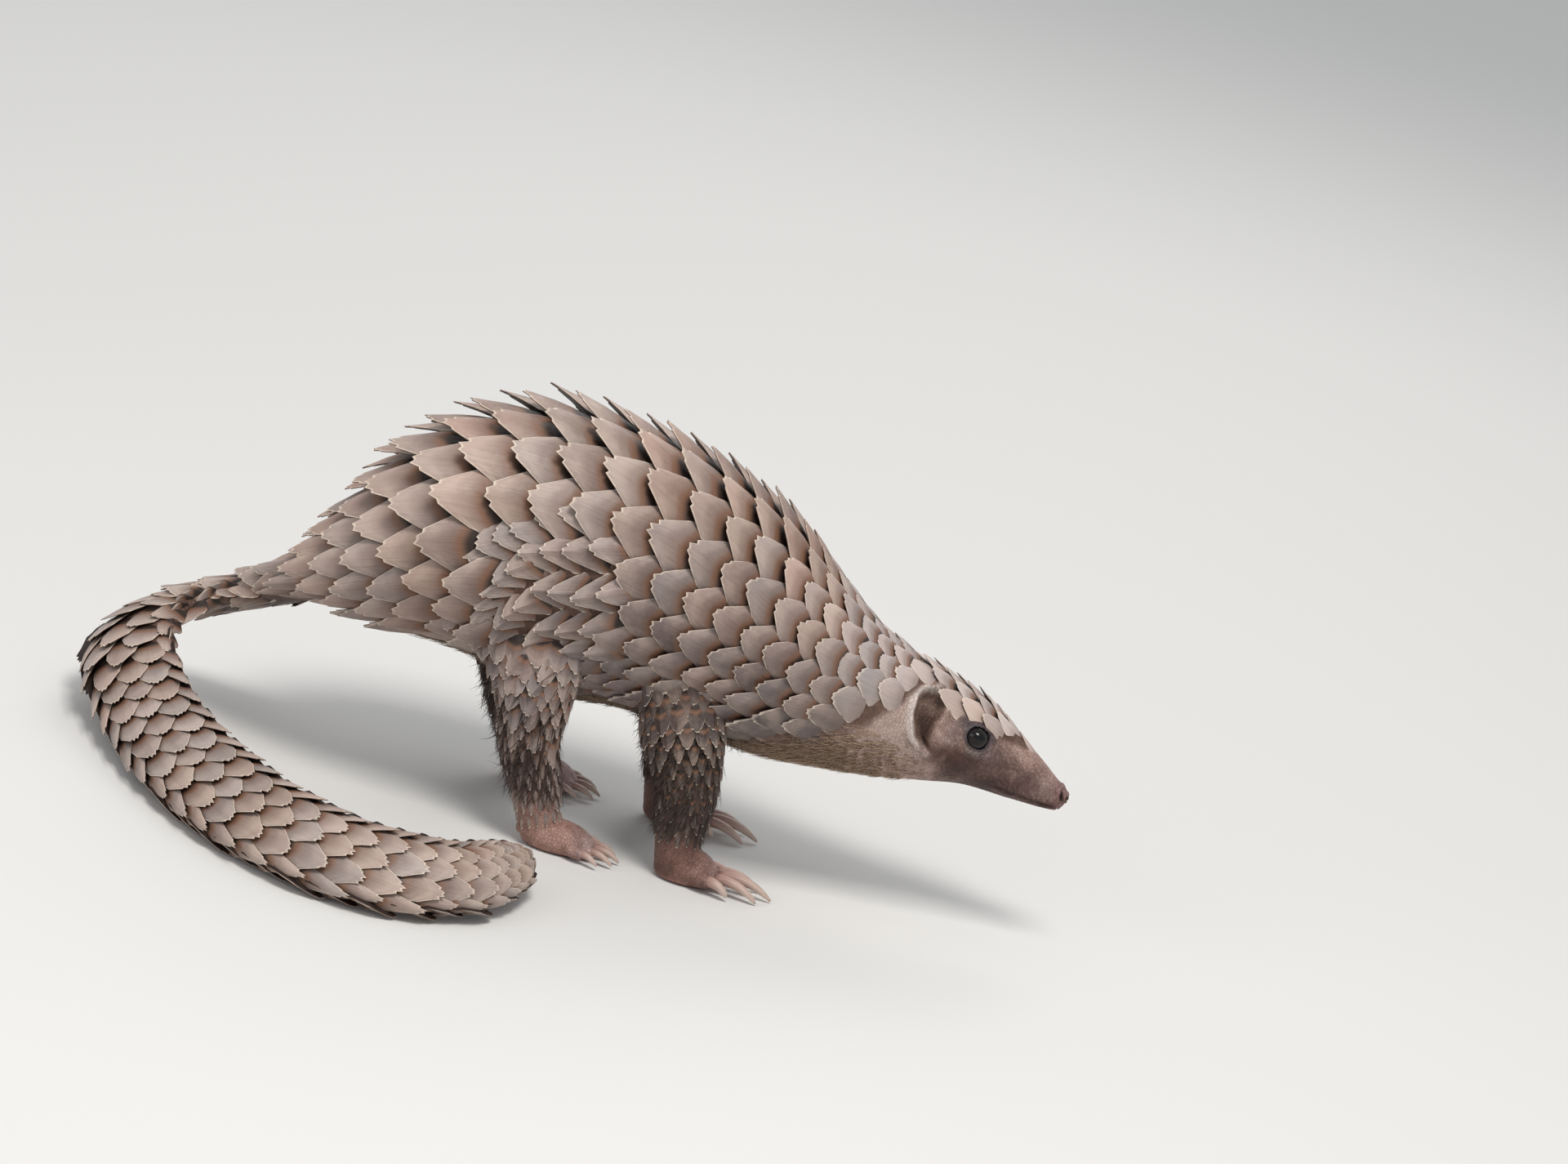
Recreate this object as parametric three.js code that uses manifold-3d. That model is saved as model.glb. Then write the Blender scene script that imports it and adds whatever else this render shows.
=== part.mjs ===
// A white-bellied pangolin, life size, walking with its back arched and its head low.
// Units are millimetres. +X runs from tail to nose, +Y is the animal's left, +Z is up.
// The floor is Z = 0 and the origin is the middle of the animal's outline on that floor.
import * as THREE from 'three';
import { mergeVertices } from 'three/addons/utils/BufferGeometryUtils.js';
import Module from 'manifold-3d';

const wasm = await Module();
wasm.setup();

// From the working frame, whose X = 0 is between the hind foot and the elbow, to the origin.
const ORIGIN_X = -9;
const ORIGIN_Y = -66;

const GAP = 0.3;               // what neighbouring pieces keep between them
const SEED = 7;                // seeds the small differences between scutes
const SCUTE_CLEAR = 0.35;      // how much wider and thicker a scute is when it cuts its neighbour

// The spine from nose tip to tail tip. Each station: place of the section's centre, half width,
// height of the upper and of the lower half, and how far the section leans over, in degrees.
const STATIONS = [
  { at: [209, 0, 69], wide: 1.8, up: 1.8, down: 1.8, lean: 0 },              // nose tip
  { at: [206.5, 0, 70], wide: 5.4, up: 4.8, down: 6, lean: 0 },
  { at: [199, 0, 72], wide: 7.6, up: 7.6, down: 9.2, lean: 0 },              // snout
  { at: [186, 0, 76.5], wide: 11.5, up: 12, down: 13.4, lean: 0 },
  { at: [165, 0, 83], wide: 17.6, up: 18.8, down: 19, lean: 0 },             // eyes
  { at: [146, 0, 86.5], wide: 22, up: 23.5, down: 25.5, lean: 0 },           // cheek and ear
  { at: [127, 0, 89], wide: 26.5, up: 26.5, down: 31, lean: 0 },             // nape
  { at: [107, 0, 93], wide: 32, up: 30, down: 37.5, lean: 0 },               // neck
  { at: [82, 0, 100], wide: 40, up: 37.5, down: 46.5, lean: 0 },
  { at: [48, 0, 111], wide: 46.5, up: 48.5, down: 54, lean: 0 },             // shoulders
  { at: [10, 0, 120], wide: 49.5, up: 55, down: 60, lean: 0 },
  { at: [-29, 0, 122], wide: 52, up: 59, down: 64, lean: 0 },                // loin
  { at: [-66, 0, 116], wide: 53, up: 53, down: 54, lean: 0 },                // haunch
  { at: [-100, 1, 101], wide: 43, up: 35, down: 35, lean: 0 },               // rump
  { at: [-130, 5, 84], wide: 29, up: 15, down: 14, lean: 3 },                // tail root
  { at: [-150, 13, 68], wide: 23, up: 9.5, down: 8, lean: 8 },
  { at: [-170, 21, 56], wide: 21.5, up: 8.5, down: 7, lean: 14 },
  { at: [-189, 22, 46.5], wide: 20.5, up: 8, down: 6.5, lean: 22 },
  { at: [-204, 10, 38.5], wide: 20, up: 8, down: 6.5, lean: 30 },
  { at: [-208, -10, 31], wide: 19.5, up: 8, down: 6.5, lean: 36 },           // turn of the tail
  { at: [-202, -33, 25], wide: 19.5, up: 8, down: 6.5, lean: 38 },
  { at: [-190, -62, 20.5], wide: 19.5, up: 8, down: 6.5, lean: 38 },
  { at: [-174, -92, 17.5], wide: 19.5, up: 8, down: 6.5, lean: 37 },
  { at: [-155, -120, 16.5], wide: 19.5, up: 8, down: 6.5, lean: 36 },
  { at: [-132, -146, 16.2], wide: 19.5, up: 8, down: 6.5, lean: 36 },
  { at: [-105, -165, 16], wide: 19, up: 8, down: 6.5, lean: 36 },
  { at: [-76, -172, 15.8], wide: 18.5, up: 7.8, down: 6.3, lean: 36 },
  { at: [-48, -163, 15], wide: 17, up: 7.4, down: 6, lean: 34 },
  { at: [-29, -141, 14], wide: 14.5, up: 7, down: 5.6, lean: 32 },
  { at: [-19, -117, 13], wide: 11, up: 6, down: 5, lean: 30 },
  { at: [-16, -101, 12.5], wide: 4, up: 2.8, down: 2.4, lean: 30 },          // tail tip
];

// Places along the body, counted in the list of stations above.
const TAIL_TIP = STATIONS.length - 1;
const HEAD_END = 6.1;
const NECK_END = 8.25;
const TORSO_END = 14.15;
const TAIL_ENDS = [15.6, 17.4, 20.2, 22.6, 25, 27.1];

// The right legs. Along a leg, up is to the front, down is to the back and wide is sideways.
const HIND_LEG = [
  { at: [-33, -34, 88], wide: 15, up: 22, down: 24, lean: 0 },
  { at: [-30, -38, 68], wide: 14.5, up: 17, down: 18, lean: 0 },             // knee
  { at: [-27, -40.5, 48], wide: 11.5, up: 13, down: 13.5, lean: 0 },         // shank
  { at: [-20.5, -41.5, 30], wide: 9.5, up: 10.5, down: 11, lean: 0 },
  { at: [-15, -42, 14], wide: 8.8, up: 9.5, down: 9.5, lean: 0 },            // ankle
  { at: [-13.5, -42, 5], wide: 8.5, up: 9, down: 9.5, lean: 0 },
];
const FORE_LEG = [
  { at: [32, -31, 84], wide: 13, up: 19, down: 19, lean: 0 },
  { at: [38, -35.5, 66], wide: 13.5, up: 17, down: 18, lean: 0 },            // elbow
  { at: [44.5, -37.5, 47], wide: 11.5, up: 13.5, down: 14.5, lean: 0 },      // forearm
  { at: [46.5, -38, 31], wide: 10, up: 11.5, down: 12, lean: 0 },
  { at: [47, -38, 18], wide: 9.5, up: 10.5, down: 10, lean: 0 },             // wrist
  { at: [49, -38, 8], wide: 9.5, up: 11, down: 10, lean: 0 },
];
// The left legs are the same, this much further back, each foot at its own place in the stride.
const LEFT_HIND_BACK = 17;
const LEFT_FORE_BACK = 12;

// Feet: the pad is an egg cut flat by the floor, with toes in a fan in front of it. Each toe
// ends in a flat face, front millimetres ahead of its middle, from which its claw grows.
const HIND_FOOT = {
  pad: [-4, -42, 4.5], size: [17, 10.5, 9.5],
  toes: { reach: 15.5, height: 4, thick: 2.9, front: 2.2, back: 7, fan: 12, spread: 5.3 },
  claws: { lengths: [7, 10, 11, 10, 8], thick: 1.7, drop: 3.2 },
};
const FORE_FOOT = {
  pad: [54, -38, 5], size: [14.5, 10.5, 11],
  toes: { reach: 13, height: 5.2, thick: 3.3, front: 2.6, back: 8, fan: 9, spread: 5.2 },
  claws: { lengths: [8, 19, 24, 19, 9], thick: 2.3, drop: 4.4 },
};

// Scutes, each kind by its ring spacing along the body and its room across it. reach is the
// length in ring spacings, rise the slope of the plate, sink the depth of its root, ridge its
// crown, and end its free edge: three teeth or one point, as [share of the length, side].
const THREE_TEETH = [[0.87, -0.74], [1, 0], [0.87, 0.74]];
const ONE_POINT = [[1, 0]];
const SCUTES = {
  head: { ring: 11, room: 15.5, reach: 2, rise: 0.13, sink: 1, ridge: 0.6, end: ONE_POINT },
  trunk: { ring: 19.5, room: 35, reach: 2.1, rise: 0.19, sink: 2.2, ridge: 1.3, end: THREE_TEETH },
  tail: { ring: 21, room: 24, reach: 1.95, rise: 0.14, sink: 1.6, ridge: 1, end: ONE_POINT },
  leg: { ring: 13, room: 21, reach: 2, rise: 0.16, sink: 1.2, ridge: 0.8, end: ONE_POINT },
};
const PAST_CUT = 1.4;          // how far behind a cut between nodes the next root starts
const NEAR_CUT = 4;            // how far short of a cut a scute still counts as hanging over it

// Head details.
const EYE = { place: 4.19, angle: 66, radius: 5.3, sunk: 1.9 };
const LID = { radius: 5.5, thick: 1.15 };
const CUP = { place: 5.22, angle: 66, size: [6.2, 4, 12.5], ends: [[5.05, 104], [5.5, 34]] };
const EAR_FOLD = [[5.72, 33], [5.84, 50], [5.78, 70], [5.56, 92], [5.2, 106]];
const NOSTRIL = { place: 1.12, angle: 72, size: [1.7, 1.2, 1.1] };
const MOUTH = { corner: 3.3, angle: 126, front: 0.5, deep: 0.9, high: 0.45 };
const LIP = { swell: 0.7, width: 2 };

const radians = THREE.MathUtils.degToRad;
const sides = [-1, 1];
const vec = (x, y, z) => new THREE.Vector3(x, y, z);
const bump = (d) => Math.exp(-d * d);
const { clamp, lerp } = THREE.MathUtils;

// One seeded stream of numbers from 0 to 1, and a factor that strays from 1 by up to spread.
let randomState = SEED;
function random() {
  randomState = (Math.imul(randomState, 1664525) + 1013904223) >>> 0;
  return randomState / 4294967296;
}
const around = (spread) => 1 + spread * (2 * random() - 1);

// A smooth curve through equally spaced values, the ends carried straight on.
function spline(values, t) {
  const last = values.length - 1;
  const k = clamp(Math.floor(t), 0, last - 1);
  const f = t - k;
  const b = values[k];
  const c = values[k + 1];
  const a = k > 0 ? values[k - 1] : 2 * b - c;
  const d = k < last - 1 ? values[k + 2] : 2 * c - b;
  return 0.5 * (2 * b + (c - a) * f + (2 * a - 5 * b + 4 * c - d) * f * f
    + (3 * b - a - 3 * c + d) * f * f * f);
}

// A value read off a short list of [place, value] pairs, straight between them.
function ramp(pairs, t) {
  const next = pairs.findIndex(([place]) => place > t);
  if (next === 0) return pairs[0][1];
  if (next < 0) return pairs[pairs.length - 1][1];
  const [[a, low], [b, high]] = [pairs[next - 1], pairs[next]];
  return low + ((high - low) * (t - a)) / (b - a);
}

// A limb or the whole body: oval sections carried along a smooth spine. Facing is the side that
// the upper half of each section looks to. form(t, angle) adds to the surface's height.
class Limb {
  constructor(stations, facing, form = () => 0) {
    this.last = stations.length - 1;
    this.spine = [0, 1, 2].map((axis) => stations.map((s) => s.at[axis]));
    [this.wide, this.up, this.down, this.lean] =
      ['wide', 'up', 'down', 'lean'].map((name) => stations.map((s) => s[name]));
    this.facing = facing;
    this.form = form;
    this.tables = new Map();
  }

  middle(t) {
    return vec(...this.spine.map((values) => spline(values, t)));
  }

  // Millimetres of spine for one step of t.
  pace(t) {
    const step = 0.01;
    return this.middle(t + step).distanceTo(this.middle(t - step)) / (2 * step);
  }

  axes(t) {
    const step = 0.002;
    const along = this.middle(Math.min(t + step, this.last)).sub(this.middle(Math.max(t - step, 0)));
    along.normalize();
    const across = along.clone().cross(this.facing).normalize();
    const up = across.clone().cross(along);
    const lean = radians(spline(this.lean, t));
    const leanAcross = across.clone().multiplyScalar(Math.cos(lean)).addScaledVector(up, -Math.sin(lean));
    const leanUp = up.multiplyScalar(Math.cos(lean)).addScaledVector(across, Math.sin(lean));
    return { along, across: leanAcross, up: leanUp };
  }

  // The surface at t and at an angle in radians from the upper middle, grown outwards by grow.
  point(t, angle, grow = 0) {
    const { across, up } = this.axes(t);
    const raise = grow + this.form(t, angle);
    const wide = spline(this.wide, t) + raise;
    const high = (Math.cos(angle) > 0 ? spline(this.up, t) : spline(this.down, t)) + raise;
    return this.middle(t).addScaledVector(across, wide * Math.sin(angle))
      .addScaledVector(up, high * Math.cos(angle));
  }

  normal(t, angle) {
    const step = 0.01;
    const round = this.point(t, angle + step).sub(this.point(t, angle - step));
    const along = this.point(t + step, angle).sub(this.point(t - step, angle));
    const out = round.cross(along).normalize();
    return out.dot(this.point(t, angle).sub(this.middle(t))) > 0 ? out : out.negate();
  }

  // Lengths round half of the section at t, at equal steps of angle.
  half(t) {
    const key = t.toFixed(3);
    if (!this.tables.has(key)) {
      const steps = 36;
      const lengths = [0];
      let before = this.point(t, 0);
      for (let k = 1; k <= steps; k++) {
        const next = this.point(t, (Math.PI * k) / steps);
        lengths.push(lengths[k - 1] + next.distanceTo(before));
        before = next;
      }
      this.tables.set(key, lengths);
    }
    return this.tables.get(key);
  }

  girth(t) {
    return 2 * this.half(t).at(-1);
  }

  // The angle reached after a length round the section, from the upper middle.
  angleAt(t, length) {
    const lengths = this.half(t);
    const full = lengths.at(-1);
    const turns = Math.round(length / (2 * full));
    const left = length - turns * 2 * full;
    const size = Math.min(Math.abs(left), full);
    const k = clamp(lengths.findIndex((value) => value >= size), 1, lengths.length - 1);
    const share = (size - lengths[k - 1]) / (lengths[k] - lengths[k - 1]);
    return turns * 2 * Math.PI + (Math.sign(left) * Math.PI * (k - 1 + share)) / (lengths.length - 1);
  }

  lengthAt(t, angle) {
    const lengths = this.half(t);
    const place = (Math.min(Math.abs(angle), Math.PI) / Math.PI) * (lengths.length - 1);
    const k = Math.min(Math.floor(place), lengths.length - 2);
    return Math.sign(angle) * (lengths[k] + (place - k) * (lengths[k + 1] - lengths[k]));
  }
}

// The mouth line's angle at t: it runs along the jaw's side and meets itself under the nose.
const mouthLine = (t) => Math.PI - (Math.PI - radians(MOUTH.angle)) * clamp((t - MOUTH.front) / 0.7, 0, 1);

// The head's own forms: lips that swell along the mouth line, as far back as its corner.
function headForm(t, angle) {
  if (t > MOUTH.corner + 0.5) return 0;
  const folded = Math.abs(angle) > Math.PI ? 2 * Math.PI - Math.abs(angle) : Math.abs(angle);
  const away = ((folded - mouthLine(t)) * Math.max(spline(SNOUT_WIDE, t), 3)) / LIP.width;
  return LIP.swell * bump(away) * clamp(2 * (MOUTH.corner + 0.5 - t), 0, 1) * clamp(t, 0, 1);
}
const SNOUT_WIDE = STATIONS.map((s) => s.wide);

const body = new Limb(STATIONS, vec(0, 0, 1), headForm);

// Points and triangles as a solid, turned inside out first where that makes it positive.
function solid(points, faces) {
  let volume = 0;
  for (const [a, b, c] of faces) volume += points[a].dot(points[b].clone().cross(points[c]));
  const turned = volume > 0 ? faces : faces.map(([a, b, c]) => [a, c, b]);
  return new wasm.Manifold(new wasm.Mesh({
    numProp: 3,
    vertProperties: new Float32Array(points.flatMap((p) => [p.x, p.y, p.z])),
    triVerts: new Uint32Array(turned.flat()),
  }));
}

// A closed solid from rings of points, the first and last ring fanned to their middles.
function loft(rings) {
  const sides = rings[0].length;
  const points = rings.flat();
  const middle = (ring) => ring.reduce((sum, p) => sum.add(p), vec(0, 0, 0)).divideScalar(sides);
  points.push(middle(rings[0]), middle(rings.at(-1)));
  const faces = [];
  for (let r = 0; r + 1 < rings.length; r++) {
    for (let s = 0; s < sides; s++) {
      const n = (s + 1) % sides;
      const a = r * sides + s;
      const b = r * sides + n;
      faces.push([a, b, b + sides], [a, b + sides, a + sides]);
    }
  }
  const lastRing = (rings.length - 1) * sides;
  for (let s = 0; s < sides; s++) {
    const n = (s + 1) % sides;
    faces.push([points.length - 2, n, s], [points.length - 1, lastRing + s, lastRing + n]);
  }
  return solid(points, faces);
}

// A three.js geometry as a solid.
function fromGeometry(geometry) {
  const bare = geometry.index ? geometry.toNonIndexed() : geometry.clone();
  bare.deleteAttribute('normal');
  bare.deleteAttribute('uv');
  const merged = mergeVertices(bare, 1e-4);
  const places = merged.attributes.position;
  const points = Array.from({ length: places.count }, (_, k) =>
    vec(0, 0, 0).fromBufferAttribute(places, k));
  const faces = [];
  for (let k = 0; k < merged.index.count; k += 3) {
    const [a, b, c] = merged.index.array.slice(k, k + 3);
    if (a !== b && b !== c && c !== a) faces.push([a, b, c]);
  }
  return solid(points, faces);
}

const join = (pieces) => wasm.Manifold.union(pieces);

// An egg shape: half sizes along its own x, y and z, which point along two given directions.
function egg(centre, halfSizes, segments = 16, axisX = vec(1, 0, 0), near = vec(0, 0, 1)) {
  const geometry = new THREE.SphereGeometry(1, segments, Math.round(segments * 0.7));
  const z = near.clone().addScaledVector(axisX, -near.dot(axisX)).normalize();
  const place = new THREE.Matrix4().makeBasis(axisX, z.clone().cross(axisX), z);
  place.scale(vec(...halfSizes));
  place.setPosition(centre);
  return fromGeometry(geometry.applyMatrix4(place));
}

// A tube through points, its half width at each given by a list, high times as high as wide.
function tube(points, widths, { sides, rings, high = 1, facing = vec(0, 0, 1) }) {
  const limb = new Limb(points.map((p, k) => ({
    at: p.toArray(), wide: widths[k], up: widths[k] * high, down: widths[k] * high, lean: 0,
  })), facing);
  return loft(Array.from({ length: rings }, (_, r) => Array.from({ length: sides }, (_, s) =>
    limb.point((r * limb.last) / (rings - 1), (2 * Math.PI * s) / sides))));
}

// A stretch of a limb, its ends half of GAP short of the places from and to where it is cut.
function stretch(limb, from, to, sides, step, grow = 0) {
  const start = from > 0 ? from + GAP / 2 / limb.pace(from) : 0;
  const end = to < limb.last ? to - GAP / 2 / limb.pace(to) : limb.last;
  const places = [];
  for (let t = start; t < end; t += Math.min(step / limb.pace(t), 0.8)) places.push(t);
  if (end - places.at(-1) < 0.12) places.pop();
  places.push(end);
  return loft(places.map((t) => Array.from({ length: sides }, (_, s) =>
    limb.point(t, (2 * Math.PI * (s + 0.5)) / sides, grow))));
}

// The largest closed surface of a solid.
function largest(piece) {
  return piece.decompose().reduce((best, part) => (part.volume() > best.volume() ? part : best));
}

// The triangles between two rows of points that run the same way. Each point is [side, index].
function zip(front, back) {
  const faces = [];
  let [f, b] = [0, 0];
  while (f < front.length - 1 || b < back.length - 1) {
    const takeFront = b === back.length - 1 || (f < front.length - 1 && front[f + 1][0] <= back[b + 1][0]);
    const third = takeFront ? front[f + 1][1] : back[b + 1][1];
    faces.push([front[f][1], third, back[b][1]]);
    if (takeFront) f += 1; else b += 1;
  }
  return faces;
}

// A scute as a plate that follows the limb under it. It grows from t at the given length round
// the section, its root sunk and its jagged end clear of the surface, and points along the limb.
// It has three rows: the root, the widest, and the end with its point and two corners.
// clear makes it wider and thicker, for cutting what it must not touch.
function scute(limb, { t, round, long, half, kind, slope, folded }, clear = 0) {
  const { sink, ridge, end: freeEdge } = kind;
  const put = (share, side, height) => {
    const x = share * long + (share > 0.5 ? clear : 0);
    const place = Math.min(t + x / limb.pace(t), limb.last);
    const across = (round + side * half) * (limb.girth(place) / limb.girth(t)) + Math.sign(side) * clear;
    const angle = limb.angleAt(place, across);
    return limb.point(place, angle).addScaledVector(limb.normal(place, angle), x * slope - sink + height);
  };
  const rows = [
    [[0, -0.3], [0, 0.3]],
    (folded ? [-1, -0.5, 0, 0.5, 1] : [-1, 0, 1]).map((side) => [0.56, side]),
    freeEdge,
  ];
  const points = [];
  const layer = (crown, rim) => rows.map((row, r) => row.map(([share, side]) => {
    const inner = r === 1 ? 1 - side * side : 0;
    points.push(put(share, side, crown * inner + rim));
    return [side, points.length - 1];
  }));
  const [root, wide, end] = layer(ridge, clear);
  const [underRoot, underWide, underEnd] = layer(-0.5, -clear);
  const rimOf = ([r, w, e]) => [r[0], w[0], ...e, w.at(-1), r[1]].map(([, index]) => index);
  const rim = rimOf([root, wide, end]);
  const underRim = rimOf([underRoot, underWide, underEnd]);
  const faces = [...zip(root, wide), ...zip(wide, end)];
  const under = [...zip(underRoot, underWide), ...zip(underWide, underEnd)].map(([i, j, k]) => [i, k, j]);
  if (clear === 0) {
    const same = new Map(underRim.map((index, k) => [index, rim[k]]));
    const joined = under.map((face) => face.map((index) => same.get(index) ?? index));
    const used = [...new Set([...faces, ...joined].flat())];
    const place = new Map(used.map((index, k) => [index, k]));
    const renamed = [...faces, ...joined].map((face) => face.map((index) => place.get(index)));
    return solid(used.map((index) => points[index]), renamed);
  }
  const wall = rim.flatMap((index, k) => {
    const n = (k + 1) % rim.length;
    return [[index, rim[n], underRim[n]], [index, underRim[n], underRim[k]]];
  });
  return solid(points, [...faces, ...under, ...wall]);
}

// Rings of scutes along a limb, every other ring set half a place round. Each ring fills the
// room from -edge(t) to edge(t), in degrees, or closes all round where edge gives 180.
function scuteRings(limb, from, to, kind, edge, size = () => 1) {
  const list = [];
  let t = from;
  for (let ring = 0; t < to; ring++) {
    const grow = size(t);
    const girth = limb.girth(t);
    const limit = edge(t);
    const shift = ring % 2 ? 0.5 : 0;
    const places = [];
    if (limit >= 180) {
      const count = Math.max(4, Math.round(girth / (kind.room * grow)));
      for (let k = 0; k < count; k++) places.push((k + shift - Math.floor(count / 2)) * (girth / count));
    } else {
      const reach = limb.lengthAt(t, radians(limit));
      const room = kind.room * grow;
      const most = Math.floor(reach / room - shift + 0.35);
      for (let k = -most - (shift ? 1 : 0); k <= most; k++) places.push((k + shift) * room);
    }
    const room = limit >= 180 ? girth / places.length : kind.room * grow;
    for (const round of places) {
      list.push({
        t, round, kind, ring,
        folded: limit >= 180 && Math.abs(Math.abs(round) / girth - 0.25) < 0.1,
        long: kind.ring * grow * kind.reach * around(0.05),
        half: room * 0.47 * around(0.03),
        slope: kind.rise * around(0.06),
      });
    }
    t += (kind.ring * grow) / limb.pace(t);
  }
  return list;
}

// Leaves out a scute whose ring lies closer than usual to the next, as inside a tight bend.
function roomy(limb, list) {
  return list.filter(({ t, round, kind }) => {
    const here = limb.point(t, limb.angleAt(t, round));
    const next = Math.min(t + kind.ring / limb.pace(t), limb.last);
    const ahead = limb.point(next, limb.angleAt(next, (round * limb.girth(next)) / limb.girth(t)));
    return here.distanceTo(ahead) > 0.5 * kind.ring;
  });
}

const MATERIALS = {
  scale: { color: 0x9c8a80, roughness: 0.6 },
  skin: { color: 0x6e564b, roughness: 0.8 },
  leg: { color: 0x5b453e, roughness: 0.85 },
  ear: { color: 0xa08e88, roughness: 0.75 },
  eye: { color: 0x14110f, roughness: 0.12 },
  claw: { color: 0x94807a, roughness: 0.5 },
};

// Everything above the floor.
const aboveFloor = fromGeometry(new THREE.BoxGeometry(900, 900, 400).translate(0, 0, 200));

const group = new THREE.Group();
group.position.set(-ORIGIN_X, -ORIGIN_Y, 0);

// Adds a named node: the largest closed surface of the piece, trimmed flat at the floor.
function addNode(name, piece, material) {
  const mesh = largest(piece.intersect(aboveFloor)).getMesh();
  const geometry = new THREE.BufferGeometry();
  const places = new Float32Array(mesh.numVert * 3);
  for (let k = 0; k < mesh.numVert; k++) {
    for (let axis = 0; axis < 3; axis++) places[3 * k + axis] = mesh.vertProperties[mesh.numProp * k + axis];
  }
  geometry.setAttribute('position', new THREE.BufferAttribute(places, 3));
  geometry.setIndex(Array.from(mesh.triVerts));
  const surface = new THREE.MeshStandardMaterial({ metalness: 0, ...MATERIALS[material] });
  const node = new THREE.Mesh(geometry, surface);
  node.name = name;
  group.add(node);
}

// Scutes of the head, from the brow back, and of the neck and trunk, down to the bare belly.
const browEdge = (t) => ramp([[3, 16], [3.4, 36], [4.3, 40], [5, 44], [5.7, 32], [6.1, 40]], t);
const flankEdge = (t) => ramp([[6.1, 66], [6.6, 96], [7.1, 112], [7.8, 132], [8.6, 140], [13.4, 140],
  [13.8, 180]], t);
const trunkSize = (t) => ramp([[6.1, 0.6], [8.2, 0.84], [9.6, 1], [12.4, 1], [14.2, 0.82]], t);
const tailSize = (t) => ramp([[14.2, 0.95], [15.5, 1], [26, 0.95], [28, 0.75], [30, 0.55]], t);
const pastCut = (t) => t + PAST_CUT / body.pace(t);

// A right leg's piece as it is, or mirrored to the left and moved back.
function mirrored(piece, side, back) {
  if (side < 0) return piece;
  const place = new THREE.Matrix4().makeScale(1, -1, 1).setPosition(-back, 0, 0);
  return piece.transform(place.toArray());
}

// No trunk scute grows where a leg comes out of the body.
const hindLimb = new Limb(HIND_LEG, vec(1, 0, 0));
const foreLimb = new Limb(FORE_LEG, vec(1, 0, 0));
const legCores = join([[hindLimb, LEFT_HIND_BACK], [foreLimb, LEFT_FORE_BACK]].flatMap(([limb, back]) =>
  sides.map((side) => mirrored(stretch(limb, 0.6, limb.last, 12, 14), side, back))));
const clearOfLegs = (plate) => plate.intersect(legCores).volume() < 4;
const headScutes = scuteRings(body, 3.05, HEAD_END - 7 / body.pace(HEAD_END), SCUTES.head, browEdge);
const trunkScutes = scuteRings(body, pastCut(HEAD_END), TORSO_END - 0.32, SCUTES.trunk, flankEdge, trunkSize)
  .filter((item) => clearOfLegs(scute(body, item)));
const tailScutes = roomy(body, scuteRings(body, pastCut(TORSO_END), TAIL_TIP - 0.55, SCUTES.tail,
  () => 180, tailSize));

// A cut of the body falls just in front of the ring of scutes nearest to the place asked for.
function cutBefore(list, place) {
  const ring = list.find(({ t }) => t >= place);
  return ring.t - PAST_CUT / body.pace(ring.t);
}
const neckEnd = cutBefore(trunkScutes, NECK_END);
const tailCuts = [TORSO_END, ...TAIL_ENDS.map((place) => cutBefore(tailScutes, place)), TAIL_TIP];

// The head without its sockets and openings, and the same grown by GAP.
const headCore = (grow) => stretch(body, 0, HEAD_END, 18, 5.8, grow);
const headPoint = (place, angle, out) => body.point(place, angle)
  .addScaledVector(body.normal(place, angle), out);

function eyeBall(side, grow) {
  const centre = headPoint(EYE.place, side * radians(EYE.angle), -EYE.sunk);
  const size = EYE.radius + grow;
  return egg(centre, [size, size, size], 11, body.normal(EYE.place, side * radians(EYE.angle)));
}

// The upper and lower lid: one rim round the opening, thickest above.
function lids(side) {
  const angle = side * radians(EYE.angle);
  const rim = new THREE.TorusGeometry(LID.radius, LID.thick, 4, 12);
  const turn = new THREE.Quaternion().setFromUnitVectors(vec(0, 0, 1), body.normal(EYE.place, angle));
  const centre = headPoint(EYE.place, angle, -0.2);
  return fromGeometry(rim.applyMatrix4(new THREE.Matrix4().compose(centre, turn, vec(1, 1, 1))));
}

function mouthCut() {
  const steps = 6;
  const path = [];
  for (let k = -steps; k <= steps; k++) {
    const t = lerp(MOUTH.front, MOUTH.corner, Math.abs(k) / steps);
    const angle = k === 0 ? Math.PI : Math.sign(k) * mouthLine(t);
    path.push([t, angle, 1 - 0.9 * (Math.abs(k) / steps) ** 4]);
  }
  return loft(path.map(([t, angle, share]) => {
    const out = body.normal(t, angle).multiplyScalar(MOUTH.deep * share);
    const { along, up } = body.axes(t);
    const open = Math.abs(angle) < Math.PI ? up.clone().multiplyScalar(MOUTH.high)
      : along.clone().multiplyScalar(-MOUTH.high);
    const at = body.point(t, angle);
    return [at.clone().add(out), at.clone().add(open), at.clone().sub(out), at.clone().sub(open)];
  }));
}

// The hollow of the ear, long from its top to its lobe.
function earCup(side) {
  const angle = side * radians(CUP.angle);
  const [low, high] = CUP.ends.map(([place, end]) => body.point(place, side * radians(end)));
  const tall = high.sub(low).normalize();
  const front = body.normal(CUP.place, angle).cross(tall).normalize();
  return egg(body.point(CUP.place, angle), CUP.size, 9, front, tall);
}

const nostril = (side) => egg(body.point(NOSTRIL.place, side * radians(NOSTRIL.angle)), NOSTRIL.size, 6);

const headWhole = join([headCore(0), ...sides.map(lids), ...headScutes.map((item) => scute(body, item))]);
const headHollows = sides.flatMap((side) => [eyeBall(side, GAP), earCup(side), nostril(side)]);
addNode('head', headWhole.subtract(join([mouthCut(), ...headHollows])), 'skin');

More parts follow.
